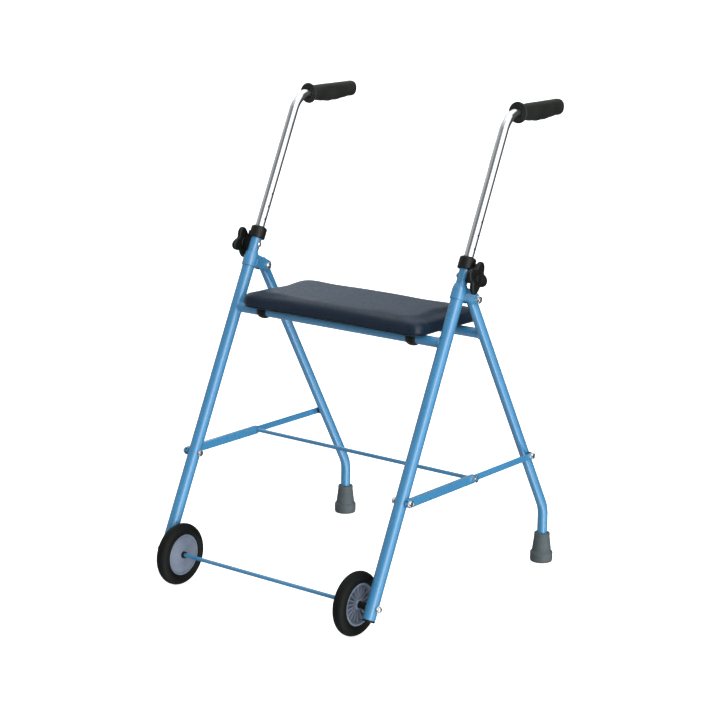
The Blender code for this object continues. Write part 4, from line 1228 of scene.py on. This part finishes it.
def seat_clip(side):
    """Crowned saddle round the front cross tube, with an ear for its screw."""
    node = "seat_clip_" + side
    low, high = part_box(node)
    tube_mid, tube_half = measured("front_cross_tube")
    middle, half = measured(node)
    across = crosswise((middle.x, tube_mid.y, tube_mid.z))
    thin, crown = tube_half.z + 0.0012, tube_mid.z - low.z + 0.0006
    ring = []
    for i in range(25):
        t = -1 + i / 12
        ring.append((thin + (crown - thin) * (1 - abs(t) ** 2.6), half.x * 1.12 * t))
    saddle = turned(node + "_moulding", [(0, ring[0][1]), *ring, (0, ring[-1][1])], across, steps=96)
    outline = eased(oblong(low.x, tube_mid.y - 0.017, high.x, high.y), 0.004, True, 6)
    combine(saddle, [slab("ear", outline, high.z - CLIP_EAR, high.z, None, 0.0006)], "UNION")
    roof = slab("roof", oblong(low.x - 0.01, tube_mid.y - 0.04, high.x + 0.01, tube_mid.y + 0.04),
                high.z, high.z + 0.02, None, 0.0001)
    bore = rod("bore", tube_half.z + GAP, -0.03, 0.03, across, 64, 0.0001)
    combine(saddle, [roof, bore, screw_hole(centre("seat_screw_" + side), high.z, -0.01, 0.01)])
    piece(shade(saddle), "black_plastic", node)


def seat_rest(side):
    """Flat pad between the board and the rear cross tube."""
    node = "seat_rest_" + side
    low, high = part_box(node)
    outline = eased(oblong(low.x, low.y, high.x, high.y), 0.003, True, 5)
    piece(slab(node + "_moulding", outline, low.z, high.z, None, 0.0007, rounds=3), "black_plastic", node)


def seat_board():
    """Plywood board with a hole for each screw."""
    low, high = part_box("seat_board")
    middle, half = measured("seat_board")
    outline = set_on(middle, rectangle(half.x, half.y, BOARD_CORNER_R))
    board = slab("seat_board_ply", outline, low.z, high.z, None, 0.0007)
    combine(board, [screw_hole(centre("seat_screw_" + side), low.z, -0.008, 0.004) for side in LEG])
    piece(shade(board, 30), "plywood", "seat_board")


# ------------------------------------------------------------ assembly
for side, sign in SIDES:
    front_tubes(side)
    hinge_bracket(side)
    clamp(side, sign)
    knob(side)
    handle(side)
    grip(side)
    wheel(side)
    rear_frame(side)
    braces(side)
cross_tube("front_cross_tube", LEG, extent("front_leg_left", LEG["left"])[1].x)
cross_tube("rear_cross_tube", REAR, REAR_R)
axle()
cross_rod()
cushion()
hem()
seat_board()
for side in LEG:
    seat_screw(side)
    seat_clip(side)
    seat_rest(side)


# ------------------------------------------------------------ studio
def floor_finish():
    f = Finish("studio_floor", Emission_Color=(1, 1, 1, 1), Emission_Strength=0.75)
    f.to(Base_Color=f.ramp(f.noise(1.5, 4), (0.3, 0.93), (0.7, 0.96)),
         Roughness=f.ramp(f.noise(9, 3), (0.3, 0.85), (0.7, 0.95)))
    return f.mat


floor_mesh = bpy.data.meshes.new("studio_floor")
floor_mesh.from_pydata([(x, y, 0) for x, y in oblong(-30, -30, 30, 30)], [], [(0, 1, 2, 3)])
floor = bpy.data.objects.new("studio_floor", floor_mesh)
floor_mesh.materials.append(floor_finish())
COLLECTION.objects.link(floor)
floor.visible_glossy = False
floor.visible_diffuse = False

AZIMUTH, ELEVATION, ROLL = radians(37.281), radians(13.025), radians(0.852)
DISTANCE, TARGET = 4.007, Vector((-0.007, 0.040, 0.465))
back = Vector((sin(AZIMUTH) * cos(ELEVATION), -cos(AZIMUTH) * cos(ELEVATION), sin(ELEVATION)))
right = Vector((cos(AZIMUTH), sin(AZIMUTH), 0))
up = back.cross(right)
rolled_right = right * cos(ROLL) + up * sin(ROLL)
rolled_up = up * cos(ROLL) - right * sin(ROLL)
camera_data = bpy.data.cameras.new("camera")
camera_data.sensor_width = 36
camera_data.lens = 99.5
camera_data.shift_x, camera_data.shift_y = -0.0052, -0.0181
camera = bpy.data.objects.new("camera", camera_data)
COLLECTION.objects.link(camera)
pose = Matrix((rolled_right, rolled_up, back)).transposed().to_4x4()
pose.translation = TARGET + back * DISTANCE
camera.matrix_world = pose
bpy.context.scene.camera = camera


def softbox(name, place, aim, size, power):
    """A rectangular lamp that faces a point."""
    data = bpy.data.lights.new(name, "AREA")
    data.shape = "RECTANGLE"
    data.size, data.size_y = size
    data.energy = power
    lamp = bpy.data.objects.new(name, data)
    COLLECTION.objects.link(lamp)
    lamp.location = place
    lamp.rotation_euler = (Vector(aim) - Vector(place)).to_track_quat("-Z", "Y").to_euler()


flat_back = Vector((back.x, back.y, 0)).normalized()
softbox("key", flat_back * 2.2 + right * 2.4 + Vector((0, 0, 2.3)), (0, 0, 0.5), (2.2, 2.2), 7)
softbox("top", Vector((0, 0.6, 3.4)), (0, 0, 0.4), (3.0, 3.0), 13)
softbox("rim", flat_back * -2.6 - right * 1.2 + Vector((0, 0, 2.0)), (0, 0, 0.6), (2.0, 1.6), 14)

world = bpy.data.worlds.new("studio")
bpy.context.scene.world = world
world.use_nodes = True
world.node_tree.nodes.clear()
g = Graph(world.node_tree)
# A band of light round the horizon, whose angle 0 is towards the camera and grows to its right.
ray = g.node("ShaderNodeTexCoord").outputs["Generated"]
level_ray = g.node("ShaderNodeVectorRotate", _rotation_type="Z_AXIS", Vector=ray, Angle=-AZIMUTH).outputs[0]
split = g.node("ShaderNodeSeparateXYZ", Vector=level_ray).outputs
angle = g.math("ARCTAN2", split["X"], g.math("MULTIPLY", split["Y"], -1))
share = g.node("ShaderNodeMath", _operation="MULTIPLY_ADD", i0=angle, i1=1 / (2 * pi), i2=0.5).outputs[0]
stops = ((-180, 0.40), (-150, 0.26), (-118, 0.46), (-80, 0.40), (-56, 0.18), (-25, 0.14), (-12, 0.7),
         (8, 1.3), (18, 4.0), (36, 4.0), (46, 1.1), (76, 1.2), (86, 0.09), (140, 0.06), (156, 0.30),
         (180, 0.40))
band = g.ramp(share, *(((turn + 180) / 360, (value, value, value * 1.01)) for turn, value in stops))
band.node.color_ramp.interpolation = "EASE"
lift = g.node("ShaderNodeMapRange", Value=split["Z"], From_Min=0.60, From_Max=0.95).outputs["Result"]
dome = g.mix(lift, band, (1.0, 1.0, 1.01))
seen = g.mix(g.node("ShaderNodeLightPath").outputs["Is Camera Ray"], dome, (1, 1, 1))
sky = g.node("ShaderNodeBackground", Color=seen, Strength=1.0)
g.node("ShaderNodeOutputWorld", Surface=sky.outputs[0])

bpy.context.scene.view_settings.view_transform = "Standard"
